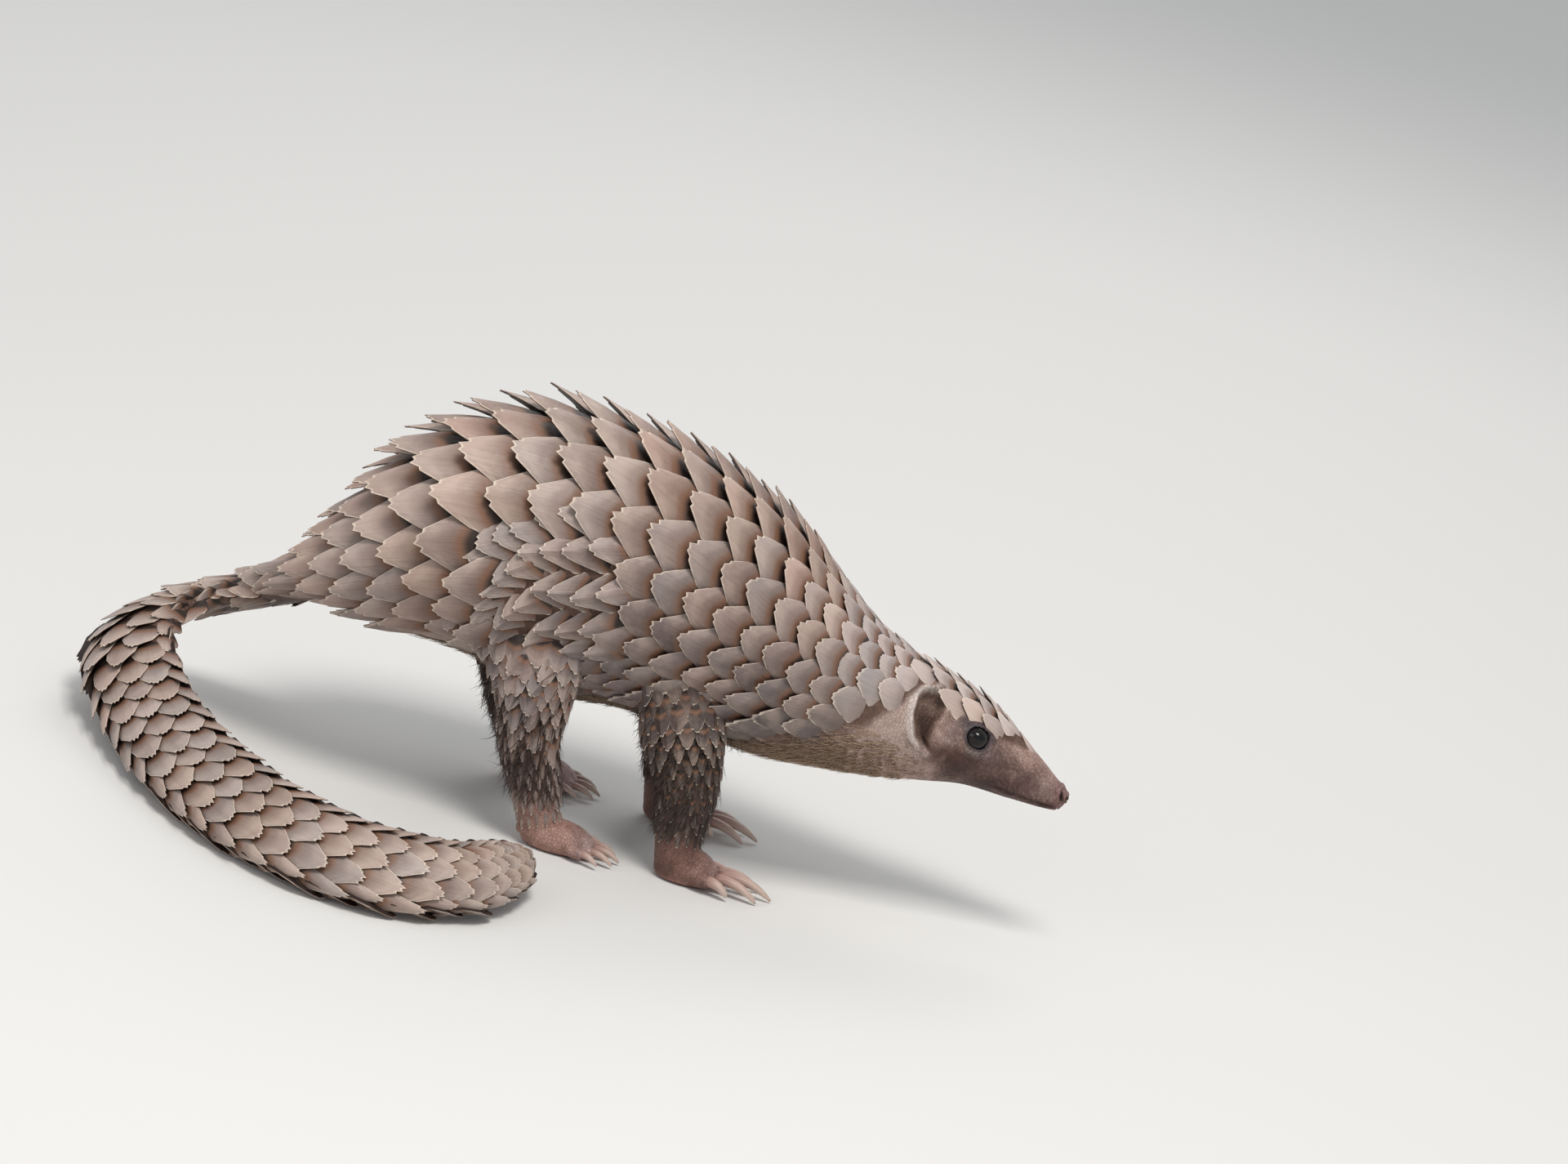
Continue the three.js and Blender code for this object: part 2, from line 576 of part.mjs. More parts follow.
const sideName = (side) => (side < 0 ? 'right' : 'left');
for (const side of sides) {
  addNode(`eye_${sideName(side)}`, eyeBall(side, 0), 'eye');
  const fold = EAR_FOLD.map(([place, angle]) => headPoint(place, side * radians(angle), 1.4));
  const facing = body.normal(CUP.place, side * radians(CUP.angle));
  const ear = tube(fold, [1.3, 2.2, 2.5, 2.3, 1.4], { sides: 6, rings: 6, high: 1.3, facing });
  const under = join([headCore(GAP), ...headScutes.map((item) => scute(body, item, SCUTE_CLEAR))]);
  addNode(`ear_${sideName(side)}`, ear.subtract(under), 'ear');
}

// Neck, torso and tail. Each keeps clear of the scutes that hang over it from in front.
const reachesPast = (cut) => ({ t, long }) =>
  t < cut && t + (long + NEAR_CUT) / body.pace(t) > cut;
const overhang = (list, cut) => list.filter(reachesPast(cut))
  .flatMap((item) => [scute(body, item), scute(body, item, SCUTE_CLEAR)]);

function bodyNode(name, from, to, sidesRound, step, own, before) {
  const { along } = body.axes(from);
  const behind = along.dot(body.middle(from)) + GAP / 2;
  const scutes = own.filter(({ t }) => t >= from && t < to)
    .map((item) => scute(body, item).trimByPlane(along.toArray(), behind));
  const whole = join([stretch(body, from, to, sidesRound, step), ...scutes]);
  const over = overhang(before, from);
  addNode(name, over.length ? whole.subtract(join(over)) : whole, 'scale');
}

bodyNode('neck', HEAD_END, neckEnd, 16, 22, trunkScutes, headScutes);
bodyNode('torso', neckEnd, TORSO_END, 16, 24, trunkScutes, trunkScutes);
tailCuts.slice(0, -1).forEach((from, k) => {
  bodyNode(`tail_${k + 1}`, from, tailCuts[k + 1], 10, 20, tailScutes, k ? tailScutes : trunkScutes);
});

// What the legs keep clear of: the trunk, grown by GAP, and its scutes that hang low.
const legRoom = NECK_END - 1;
const lowScutes = trunkScutes.filter(({ t, round }) =>
  t > legRoom && Math.abs(body.angleAt(t, round)) > 1.2);
const trunkGrown = join([stretch(body, HEAD_END, neckEnd, 16, 22, GAP),
  stretch(body, neckEnd, TORSO_END, 16, 24, GAP),
  ...lowScutes.map((item) => scute(body, item, SCUTE_CLEAR))]);

// A foot's toes as [centre, the way it points, claw length], fanned across the pad's front.
function toes({ pad, toes: { reach, height, fan, spread }, claws }) {
  return claws.lengths.map((long, k) => {
    const off = k - (claws.lengths.length - 1) / 2;
    const turn = radians(off * fan);
    const way = vec(Math.cos(turn), -Math.sin(turn), 0);
    const at = vec(pad[0] + reach * Math.cos(1.4 * turn) - 0.6 * off * off, pad[1] - off * spread, height);
    return { at, way, long };
  });
}

function footSolid(foot) {
  const { thick, front, back } = foot.toes;
  return join([egg(vec(...foot.pad), foot.size, 10), ...toes(foot).map(({ at, way }) =>
    tube([at.clone().addScaledVector(way, -back), at, at.clone().addScaledVector(way, front)],
      [0.8 * thick, 1.1 * thick, 0.85 * thick], { sides: 6, rings: 3 }))]);
}

// A claw curves forward and down from its toe's face; a long one ends just off the floor.
function claw({ at, way, long }, { thick, drop }, front) {
  const fall = drop * Math.min(1, long / 12);
  const path = [0, 0.5, 1].map((share) => at.clone()
    .addScaledVector(way, front + GAP + share * long).add(vec(0, 0, -fall * share ** 2.5)));
  return tube(path, [thick, 0.72 * thick, 0.16], { sides: 5, rings: 3 });
}

// A leg, its foot and claws. The leg wears scutes on its outer side, down to above the ankle.
function leg(kind, limb, foot, back, ankle, scuteRange) {
  const scutes = scuteRings(limb, ...scuteRange, SCUTES.leg, () => 100)
    .map((item) => ({ ...item, round: item.round - limb.girth(item.t) * 0.17 }));
  const bare = join([stretch(limb, 0, limb.last, 12, 14), footSolid(foot)]);
  const above = fromGeometry(new THREE.BoxGeometry(400, 400, 200).translate(0, 0, 100 + ankle + GAP / 2));
  const below = fromGeometry(new THREE.BoxGeometry(400, 400, 200).translate(0, 0, ankle - GAP / 2 - 100));
  for (const side of sides) {
    const name = `${kind}_leg_${sideName(side)}`;
    const upper = join([bare.intersect(above), ...scutes.map((item) => scute(limb, item))]);
    addNode(name, mirrored(upper, side, back).subtract(trunkGrown), 'leg');
    addNode(`${kind}_foot_${sideName(side)}`, mirrored(bare.intersect(below), side, back), 'skin');
    toes(foot).forEach((toe, k) => {
      const piece = mirrored(claw(toe, foot.claws, foot.toes.front), side, back);
      addNode(`${kind}_claw_${sideName(side)}_${k + 1}`, piece, 'claw');
    });
  }
}

leg('hind', hindLimb, HIND_FOOT, LEFT_HIND_BACK, 14, [1.15, 2.9]);
leg('fore', foreLimb, FORE_FOOT, LEFT_FORE_BACK, 17, [1, 2.1]);

export default group;
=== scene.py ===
"""A life-size tree pangolin, standing with its back arched and its head low.

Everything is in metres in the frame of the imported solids: +X from tail to nose, +Y to the animal's
left, +Z up, the floor at Z = 0. The pieces come in the order in which a model maker would put them
together: skin, eyes, claws, the rows of scales on back, thighs, legs, tail and brow, and the hair,
then the floor, light and view.
"""

import bpy
import numpy as np
from mathutils import Matrix


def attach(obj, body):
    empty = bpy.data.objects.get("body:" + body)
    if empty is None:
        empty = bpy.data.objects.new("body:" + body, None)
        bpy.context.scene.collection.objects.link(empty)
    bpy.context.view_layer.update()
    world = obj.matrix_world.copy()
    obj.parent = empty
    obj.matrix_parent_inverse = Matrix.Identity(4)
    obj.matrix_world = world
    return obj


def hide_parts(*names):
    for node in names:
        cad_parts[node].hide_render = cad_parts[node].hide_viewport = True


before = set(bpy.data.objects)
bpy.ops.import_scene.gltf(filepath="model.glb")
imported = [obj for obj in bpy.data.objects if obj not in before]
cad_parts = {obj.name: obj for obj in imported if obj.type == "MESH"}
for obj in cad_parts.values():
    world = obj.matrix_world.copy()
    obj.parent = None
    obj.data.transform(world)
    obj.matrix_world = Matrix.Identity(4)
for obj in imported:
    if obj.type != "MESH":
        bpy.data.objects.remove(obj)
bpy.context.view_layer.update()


# Skin of the head, neck, trunk and tail

# One bare hide runs over the whole animal: thick and folded round the eyes and ears, hidden under
# horn scales on the back and tail. It is modelled over the body in one piece, closed at both ends.

MM = 0.001                                       # sizes below are in millimetres
OUTLINE_MIDDLE = np.array([9.0, 66.0, 0.0])      # added to the places below to reach the frame
# Along the spine from nose tip to tail tip: x, y, z, half width, height above and below, lean
BODY = np.array([
    [209, 0, 69, 1.8, 1.8, 1.8, 0],              # nose tip
    [206.5, 0, 70, 5.4, 4.8, 6, 0],
    [199, 0, 72, 7.6, 7.6, 9.2, 0],
    [186, 0, 76.5, 11.5, 12, 13.4, 0],
    [165, 0, 83, 17.6, 18.8, 19, 0],             # eyes
    [146, 0, 86.5, 22, 23.5, 25.5, 0],           # ears
    [127, 0, 89, 26.5, 26.5, 31, 0],             # nape
    [107, 0, 93, 32, 30, 37.5, 0],
    [82, 0, 100, 40, 37.5, 46.5, 0],
    [48, 0, 111, 46.5, 48.5, 54, 0],             # shoulders
    [10, 0, 120, 49.5, 55, 60, 0],
    [-29, 0, 122, 52, 59, 64, 0],                # loin
    [-66, 0, 116, 53, 53, 54, 0],
    [-100, 1, 101, 43, 35, 35, 0],               # rump
    [-130, 5, 84, 29, 15, 14, 3],                # tail root
    [-150, 13, 68, 23, 9.5, 8, 8],
    [-170, 21, 56, 21.5, 8.5, 7, 14],
    [-189, 22, 46.5, 20.5, 8, 6.5, 22],
    [-204, 10, 38.5, 20, 8, 6.5, 30],
    [-208, -10, 31, 19.5, 8, 6.5, 36],           # turn of the tail
    [-202, -33, 25, 19.5, 8, 6.5, 38],
    [-190, -62, 20.5, 19.5, 8, 6.5, 38],
    [-174, -92, 17.5, 19.5, 8, 6.5, 37],
    [-155, -120, 16.5, 19.5, 8, 6.5, 36],
    [-132, -146, 16.2, 19.5, 8, 6.5, 36],
    [-105, -165, 16, 19, 8, 6.5, 36],
    [-76, -172, 15.8, 18.5, 7.8, 6.3, 36],
    [-48, -163, 15, 17, 7.4, 6, 34],
    [-29, -141, 14, 14.5, 7, 5.6, 32],
    [-19, -117, 13, 11, 6, 5, 30],
    [-16, -101, 12.5, 4, 2.8, 2.4, 30],          # tail tip
], float)
TAIL_TIP = len(BODY) - 1.0
UPWARD = np.array([0.0, 0.0, 1.0])
FORWARD = np.array([1.0, 0.0, 0.0])
SIDES = {"right": -1.0, "left": 1.0}


def unit(vectors):
    """Each vector divided by its own length."""
    return vectors / np.maximum(np.linalg.norm(vectors, axis=-1, keepdims=True), 1e-12)


def smooth(low, high, x):
    """0 below low, 1 above high, and between them the curve 3f^2 - 2f^3 of the share f."""
    f = np.clip((np.asarray(x, float) - low) / (high - low), 0, 1)
    return f * f * (3 - 2 * f)


def hill(x):
    """A rounded hill of height 1 at x = 0: e to the minus x squared."""
    return np.exp(-np.square(x))


def curve(rows, t):
    """Rows of values at t = 0, 1, 2...: between two rows a cubic whose slope at each row is half
    the difference of the rows on either side of it. The two ends are carried straight on."""
    k = np.clip(np.floor(t).astype(int), 0, len(rows) - 2)
    f = (t - k)[..., None]
    longer = np.vstack([2 * rows[0] - rows[1], rows, 2 * rows[-1] - rows[-2]])
    a, b, c, d = (longer[k + i] for i in range(4))
    return 0.5 * (2 * b + (c - a) * f + (2 * a - 5 * b + 4 * c - d) * f**2
                  + (3 * b - a - 3 * c + d) * f**3)


def limb(stations, t, angle, facing):
    """The surface of a limb in millimetres: middle(t) + across wide sin(angle) + up high
    cos(angle). Across and up stand square to the spine, up looks to facing, and both are turned by
    the lean. High is the height above the spine where the cosine is positive, else below it."""
    t, angle = np.broadcast_arrays(np.asarray(t, float), np.asarray(angle, float))
    last = len(stations) - 1
    here = curve(stations, t)
    step = 0.002
    ahead = curve(stations, np.minimum(t + step, last))[..., :3]
    behind = curve(stations, np.maximum(t - step, 0))[..., :3]
    along = unit(ahead - behind)
    across = unit(np.cross(along, facing))
    up = np.cross(across, along)
    lean = np.radians(here[..., 6])[..., None]
    across, up = (across * np.cos(lean) - up * np.sin(lean),
                  up * np.cos(lean) + across * np.sin(lean))
    high = np.where(np.cos(angle) > 0, here[..., 4], here[..., 5])
    place = here[..., :3] + across * (here[..., 3] * np.sin(angle))[..., None]
    return place + up * (high * np.cos(angle))[..., None] + OUTLINE_MIDDLE


def around(columns):
    """Angles of a full turn, evenly apart."""
    return np.linspace(-np.pi, np.pi, columns, endpoint=False)


def crossed(a, b):
    """Two tables of numbers: one goes through a from row to row, one through b along each row."""
    return np.meshgrid(a, b, indexing="ij")


def running_sum(steps):
    """Along the last axis, the sum of the first 0, 1, 2... of the steps."""
    sums = np.zeros((*steps.shape[:-1], steps.shape[-1] + 1))
    np.cumsum(steps, axis=-1, out=sums[..., 1:])
    return sums


def length_along(points):
    """The distance along each line of points from its first point."""
    return running_sum(np.linalg.norm(np.diff(points, axis=-2), axis=-1))


def grid_faces(rows, columns, closed=True):
    """The four-sided faces between neighbours of a grid, the last column joined to the first."""
    r, c = crossed(np.arange(rows - 1), np.arange(columns if closed else columns - 1))
    n = (c + 1) % columns
    return np.stack([r * columns + c, r * columns + n, (r + 1) * columns + n,
                     (r + 1) * columns + c], axis=-1).reshape(-1, 4)


def grid_normals(points):
    """Outward unit normals of a closed tube of rings: the cross product of its two directions."""
    along = np.gradient(points, axis=0)
    out = unit(np.cross(np.roll(points, -1, axis=1) - np.roll(points, 1, axis=1), along))
    middle = points.mean(axis=1, keepdims=True)
    return out * np.sign(np.sum(out * (points - middle), axis=-1).mean())


def new_piece(name, places, faces, material=None):
    """A mesh object in metres from places in millimetres and a list or an array of faces."""
    mesh = bpy.data.meshes.new(name)
    mesh.from_pydata((places.reshape(-1, 3) * MM).tolist(), [], [list(face) for face in faces])
    mesh.shade_smooth()
    piece = bpy.data.objects.new(name, mesh)
    bpy.context.scene.collection.objects.link(piece)
    if material:
        mesh.materials.append(material)
    return piece


def read(values, key, width, kind=np.int32):
    """One thing about every vertex, edge, triangle or corner of a mesh, as rows of an array."""
    table = np.empty((len(values), width), kind)
    values.foreach_get(key, table.ravel())
    return table


def places_of(piece):
    """A piece's vertex places in millimetres."""
    return read(piece.data.vertices, "co", 3, np.float32).astype(float) / MM


def triangles_of(piece):
    """The vertices at the three corners of each triangle of a piece."""
    piece.data.calc_loop_triangles()
    return read(piece.data.loop_triangles, "vertices", 3)


def face_outwards(piece):
    """Turns a closed mesh inside out where its volume, the sum of a . (b x c) / 6, is negative."""
    a, b, c = places_of(piece)[triangles_of(piece)].transpose(1, 0, 2)
    if np.sum(a * np.cross(b, c)) < 0:
        piece.data.flip_normals()


def tube_piece(name, rings, material=None):
    """A closed piece from rings of points, each end closed on the middle of its ring."""
    rows, columns = rings.shape[:2]
    places = np.vstack([rings.reshape(-1, 3), rings[0].mean(axis=0), rings[-1].mean(axis=0)])
    side = np.arange(columns)
    following = (side + 1) % columns
    first_middle, last = rows * columns, (rows - 1) * columns
    faces = grid_faces(rows, columns).tolist()
    for corners in ((np.full(columns, first_middle), following, side),
                    (np.full(columns, first_middle + 1), last + side, last + following)):
        faces += np.stack(corners, axis=1).tolist()
    piece = new_piece(name, places, faces, material)
    face_outwards(piece)
    return piece


# Head details, by place along the body and angle from the brow, in degrees; sizes in millimetres
EYE_PLACE, EYE_ANGLE = 4.19, 66.0
EYE_SUNK, SOCKET_DEPTH = 1.3, 5.2                # the ball's middle, and the hide inside the lids
LID_OPENING = (5.3, 4.25)                        # half length and half height
LID_RISE = 1.9
EAR_FOLD = np.array([[5.72, 33], [5.84, 50], [5.78, 70], [5.56, 92], [5.2, 106]])
EAR_RISE, CUP_DEPTH, LOBE_RISE = 2.8, 4.2, 1.3
# The hollow before the fold, from its top down: angle, where it starts and ends ahead of the fold
CUP = np.array([[34, 8.0, 8.0], [38, 3.6, 11.0], [44, 1.2, 13.6], [54, 0.4, 14.6],
                [66, 0.2, 13.4], [80, 0.2, 10.6], [94, 0.4, 7.6], [104, 0.8, 4.6]])
MOUTH_FRONT, MOUTH_CORNER, MOUTH_ANGLE = 0.5, 3.3, 126.0
LIP_RISE, LIP_LINE_DEPTH = 0.75, 0.95
NOSTRIL_PLACE, NOSTRIL_ANGLE, NOSTRIL_SLANT = 1.12, 70.0, 0.28
NOSTRIL_RIM, NOSTRIL_DEPTH = 0.7, 1.9
SLACK_FOLD = 0.35                                # height of the folds of cheek and throat
HEAD_DETAIL_END = 7.8                            # place along the body where the relief ends


def body(t, angle):
    """The bare body at a place t along it and an angle in radians from the middle of the back,
    growing towards the animal's left."""
    return limb(BODY, t, angle, UPWARD)


def body_frame(t, angle):
    """Place, outward normal, forward direction and downward direction of the body's surface."""
    step = 0.01
    place = body(t, angle)
    ahead = body(t - step, angle) - body(t + step, angle)
    side = body(t, angle + step) - body(t, angle - step)
    out = unit(np.cross(ahead, side))
    from_spine = place - curve(BODY, np.asarray(t, float))[..., :3] - OUTLINE_MIDDLE
    out = out * np.sign(np.sum(out * from_spine, axis=-1))[..., None]
    forward = unit(ahead)
    down = np.cross(out, forward) * np.sign(np.asarray(angle, float))[..., None]
    return place, out, forward, down


def eye_distance(places, side):
    """How far points are from the eye's middle along the skin: forward and downward, and the
    elliptical distance that is 1 on the lids' rim."""
    angle = side * np.radians(EYE_ANGLE)
    middle, out, forward, down = body_frame(np.array(EYE_PLACE), np.array(angle))
    away = places - middle
    ahead, below = away @ forward, away @ down
    near = (np.sign(places[..., 1] - OUTLINE_MIDDLE[1]) == side) & (np.abs(away @ out) < 14)
    ring = np.hypot(ahead / LID_OPENING[0], below / LID_OPENING[1])
    return ahead, below, np.where(near, ring, 99.0), forward, down


def mouth_line(t):
    """The mouth's angle: along the side of the jaw, meeting its other half under the nose."""
    return np.pi - (np.pi - np.radians(MOUTH_ANGLE)) * np.clip((t - MOUTH_FRONT) / 0.7, 0, 1)


def in_cup(ahead, degrees):
    """How deep inside the ear's hollow a point lies, in millimetres from its border, less than 0
    outside it, and a share that is 1 on its rear half and 0 on its front half."""
    start, end = (np.interp(degrees, CUP[:, 0], CUP[:, column]) for column in (1, 2))
    edge = np.minimum(np.minimum(ahead - start, end - ahead),
                      0.42 * np.minimum(degrees - CUP[0, 0], CUP[-1, 0] - degrees))
    return edge, smooth(0.7, 0.4, (ahead - start) / np.maximum(end - start, 1))


def head_relief(t, angle, places):
    """What folds, lids, ears, lips and nostrils add to the skin's height, in millimetres: a sum of
    rounded hills and hollows, each by its distance from the feature's own line or middle."""
    size = np.abs(angle)
    degrees = np.degrees(size)
    half_width = curve(BODY, t)[..., 3]
    pace = np.linalg.norm(np.gradient(curve(BODY, t[:, 0])[:, :3], axis=0), axis=1)
    pace = (pace / np.maximum(np.gradient(t[:, 0]), 1e-9))[:, None]
    # the fold of the ear, steep towards the hollow in front of it
    fold = np.interp(degrees, EAR_FOLD[:, 1], EAR_FOLD[:, 0])
    ahead = (fold - t) * pace
    edge, rear = in_cup(ahead, degrees)
    height = (EAR_RISE * (0.25 + 0.75 * rear)
              * hill((edge + 0.9) / np.where(edge > -0.9, 1.0, 2.3)))
    height = height * smooth(112, 100, degrees) * smooth(20, 30, degrees)
    height -= CUP_DEPTH * smooth(0.2, 3.4, edge)
    # a small lobe at the fold's lower end
    height += LOBE_RISE * hill((degrees - 104) / 5) * hill((ahead - 1.5) / 2.4)
    # lips and the line between them
    off_line = (size - mouth_line(t)) * np.maximum(half_width, 3)
    along_mouth = (smooth(MOUTH_FRONT - 0.5, MOUTH_FRONT + 0.2, t)
                   * (1 - smooth(MOUTH_CORNER - 0.2, MOUTH_CORNER + 0.35, t)))
    height += along_mouth * (LIP_RISE * hill((np.abs(off_line) - 1.5) / 1.1)
                             - LIP_LINE_DEPTH * hill(off_line / 0.5))
    # the slit of the nostril and its raised rim
    ahead = (NOSTRIL_PLACE - t) * pace
    below = (size - np.radians(NOSTRIL_ANGLE)) * half_width
    slit = np.hypot((ahead - NOSTRIL_SLANT * below) / 0.75, below / 2.5)
    height += NOSTRIL_RIM * hill((slit - 1.8) / 0.75) - NOSTRIL_DEPTH * hill(slit / 0.95)
    # loose folds of the cheek and throat, and slack skin below the ear
    wave = np.sin(1.9 * t * pace / 3.2 + 3.0 * np.sin(3 * size)) * hill((degrees - 128) / 26)
    height += SLACK_FOLD * wave * smooth(4.4, 5.4, t) * (1 - smooth(6.6, 7.6, t))
    for side in SIDES.values():
        ahead, below, ring, *_ = eye_distance(places, side)
        outer = np.maximum(ring - 1, 0)
        brow = 1 + 0.28 * smooth(0, -4, below)
        height += LID_RISE * brow * np.exp(-outer / 0.36) * (ring > 0.985)
        height -= SOCKET_DEPTH * (1 - smooth(0.80, 0.985, ring))
        # fine folds that ring the lids, deeper below and behind the eye
        crease = np.sin(9.5 * ring + 0.8 * np.sin(3 * np.arctan2(below, ahead)))
        deeper = 0.17 + 0.1 * smooth(-2, 5, below) + 0.07 * smooth(1, -6, ahead)
        height += deeper * crease * smooth(1.12, 1.4, ring) * (1 - smooth(2.0, 2.9, ring))
    return height


SKIN_COLUMNS = 196
SPINE_STEPS, ROUND_STEPS = 6001, 4001            # fine steps in which lengths are added up
SKIN_INSIDE = 0.25                               # how far the hide lies inside the solids
# Distance from ring to ring at these places along the body, closest round eyes and ears
RING_SPACING = ([0, 0.3, 3.2, 3.6, 4.7, 5.2, 6.0, 6.8, 13, 15, TAIL_TIP],
                [0.35, 0.5, 0.62, 0.4, 0.4, 0.5, 0.62, 3.2, 3.6, 5.0, 5.0])


def skin_rings():
    """Rings of the hide: places along the body close together on the head, angles close together
    at the height of the eyes, and every point moved out by the head's relief. Near each lid the
    points are first drawn onto the rim, so that its edge is smooth."""
    spine_t = np.linspace(0, TAIL_TIP, SPINE_STEPS)
    spine = curve(BODY, spine_t)[:, :3]
    spacing = np.interp(spine_t, *RING_SPACING)
    count = running_sum(np.diff(length_along(spine)) / spacing[1:])
    places = np.interp(np.linspace(0, count[-1], int(count[-1]) + 1), count, spine_t)
    fine = np.linspace(-np.pi, np.pi, ROUND_STEPS)
    weight = 1 + 1.9 * hill((np.abs(fine) - np.radians(EYE_ANGLE)) / 0.42)
    share = running_sum(0.5 * (weight[1:] + weight[:-1]))
    angles = np.interp(np.linspace(0, share[-1], SKIN_COLUMNS + 1)[:-1], share, fine)
    t, angle = crossed(places, angles)
    points = body(t, angle)
    for side in SIDES.values():
        ahead, below, ring, forward, down = eye_distance(points, side)
        pull = (1 / np.maximum(ring, 0.3) - 1) * np.exp(-np.abs((ring - 1) / 0.1) ** 3)
        points = points + (ahead * pull)[..., None] * forward + (below * pull)[..., None] * down
    normals = grid_normals(points)
    on_head = t[:, 0] < HEAD_DETAIL_END
    lift = np.zeros(t.shape)
    lift[on_head] = head_relief(t[on_head], angle[on_head], points[on_head])
    return points + normals * (lift - SKIN_INSIDE)[..., None]


body_skin = tube_piece("skin", skin_rings())


# Legs and feet

# Short strong legs in the same hide, bare and wrinkled on the feet. Each foot is a rounded pad
# with five toes in a fan. The legs are modelled apart, sunk into the body and blended into one
# skin with it.

# Along each right leg: x, y, z, half width sideways, depth to the front and to the back, lean
HIND_LEG = np.array([
    [-33, -34, 88, 15, 22, 24, 0],
    [-30, -38, 68, 14.5, 17, 18, 0],             # knee
    [-27, -40.5, 48, 11.5, 13, 13.5, 0],
    [-20.5, -41.5, 30, 9.5, 10.5, 11, 0],
    [-15, -42, 14, 8.8, 9.5, 9.5, 0],            # ankle
    [-13.5, -42, 5, 8.5, 9, 9.5, 0],
], float)
FORE_LEG = np.array([
    [32, -31, 84, 13, 19, 19, 0],
    [38, -35.5, 66, 13.5, 17, 18, 0],            # elbow
    [44.5, -37.5, 47, 11.5, 13.5, 14.5, 0],
    [46.5, -38, 31, 10, 11.5, 12, 0],
    [47, -38, 18, 9.5, 10.5, 10, 0],             # wrist
    [49, -38, 8, 9.5, 11, 10, 0],
], float)
LEFT_HIND_BACK, LEFT_FORE_BACK = 17.0, 12.0      # how much further back the left feet stand
HIND_FOOT = dict(pad=(-4, -42, 4.5), size=(17, 10.5, 9.5), reach=15.5, height=4.0, thick=2.9,
                 front=2.2, back=7.0, fan=12.0, spread=5.3, lengths=(7, 10, 11, 10, 8),
                 claw=1.95, drop=3.2)
FORE_FOOT = dict(pad=(54, -38, 5), size=(14.5, 10.5, 11), reach=13.0, height=5.2, thick=3.3,
                 front=2.6, back=8.0, fan=9.0, spread=5.2, lengths=(8, 19, 24, 19, 9),
                 claw=2.75, drop=4.4)
LEGS = [("hind", HIND_LEG, HIND_FOOT, LEFT_HIND_BACK),
        ("fore", FORE_LEG, FORE_FOOT, LEFT_FORE_BACK)]
SOLE_HEIGHT = 0.15                               # the soles end flat, just above the floor
LEG_GRID, PAD_GRID, TOE_COLUMNS = (60, 56), (30, 40), 18
# A toe's half width and half height as shares of its thickness, from inside the pad to its end
TOE_WIDTHS, TOE_HEIGHTS = (0.8, 1.1, 0.95, 0.55), (0.9, 1.15, 1.0, 0.6)


def on_side(points, side, back):
    """Points of a right leg as they are, or mirrored to the left and moved back."""
    if side < 0:
        return points
    return (points - OUTLINE_MIDDLE) * [1, -1, 1] - [back, 0, 0] + OUTLINE_MIDDLE


def leg_surface(stations, t, angle, side, back):
    """A leg's surface: angle 0 looks forward and a quarter turn looks outwards."""
    return on_side(limb(stations, t, angle, FORWARD), side, back)


def rounded_tube(path, widths, heights, columns):
    """Rings along a path of places, half as wide and as high at each as the lists say."""
    stations = np.column_stack([path, widths, heights, heights, np.zeros(len(path))])
    rings = 6 * (len(path) - 1) + 1
    t, angle = crossed(np.linspace(0, len(path) - 1, rings), around(columns))
    return limb(stations, t, angle, UPWARD)


def toe_roots(foot):
    """Place and direction of each toe, fanned across the front of the pad."""
    off = np.arange(5) - 2.0
    turn = np.radians(off * foot["fan"])
    way = np.column_stack([np.cos(turn), -np.sin(turn), np.zeros(5)])
    place = np.column_stack([foot["pad"][0] + foot["reach"] * np.cos(1.4 * turn) - 0.6 * off**2,
                             foot["pad"][1] - off * foot["spread"], np.full(5, foot["height"])])
    return place, way


def pad_rings(foot):
    """An egg lying along the foot: circles of radius sin(u) at cos(u) along it."""
    u, v = crossed(np.linspace(0.02, np.pi - 0.02, PAD_GRID[0]), around(PAD_GRID[1]))
    ball = np.stack([np.cos(u), np.sin(u) * np.sin(v), np.sin(u) * np.cos(v)], axis=-1)
    return ball * foot["size"] + foot["pad"] + OUTLINE_MIDDLE


def toe_rings(foot, place, way):
    """A tapered tube from inside the pad to the claw's root, a little bent down at its end."""
    inner, end = way * foot["back"], way * foot["front"]
    path = [place - inner + [0, 0, 1.2], place - inner * 0.35, place + end * 0.55,
            place + way * (foot["front"] + 0.6)]
    return rounded_tube(path, foot["thick"] * np.array(TOE_WIDTHS),
                        foot["thick"] * np.array(TOE_HEIGHTS), TOE_COLUMNS)


def leg_parts():
    """Every leg, pad and toe as its own closed piece, flat below, to be joined to the skin."""
    parts = []
    for side in SIDES.values():
        for _, stations, foot, back in LEGS:
            t, angle = crossed(np.linspace(0, len(stations) - 1, LEG_GRID[0]), around(LEG_GRID[1]))
            rings = [("leg", limb(stations, t, angle, FORWARD)), ("pad", pad_rings(foot))]
            rings += [("toe", toe_rings(foot, *root)) for root in zip(*toe_roots(foot))]
            for name, points in rings:
                points = on_side(points, side, back)
                points[..., 2] = np.maximum(points[..., 2], SOLE_HEIGHT)
                parts.append(tube_piece(name, points))
    return parts


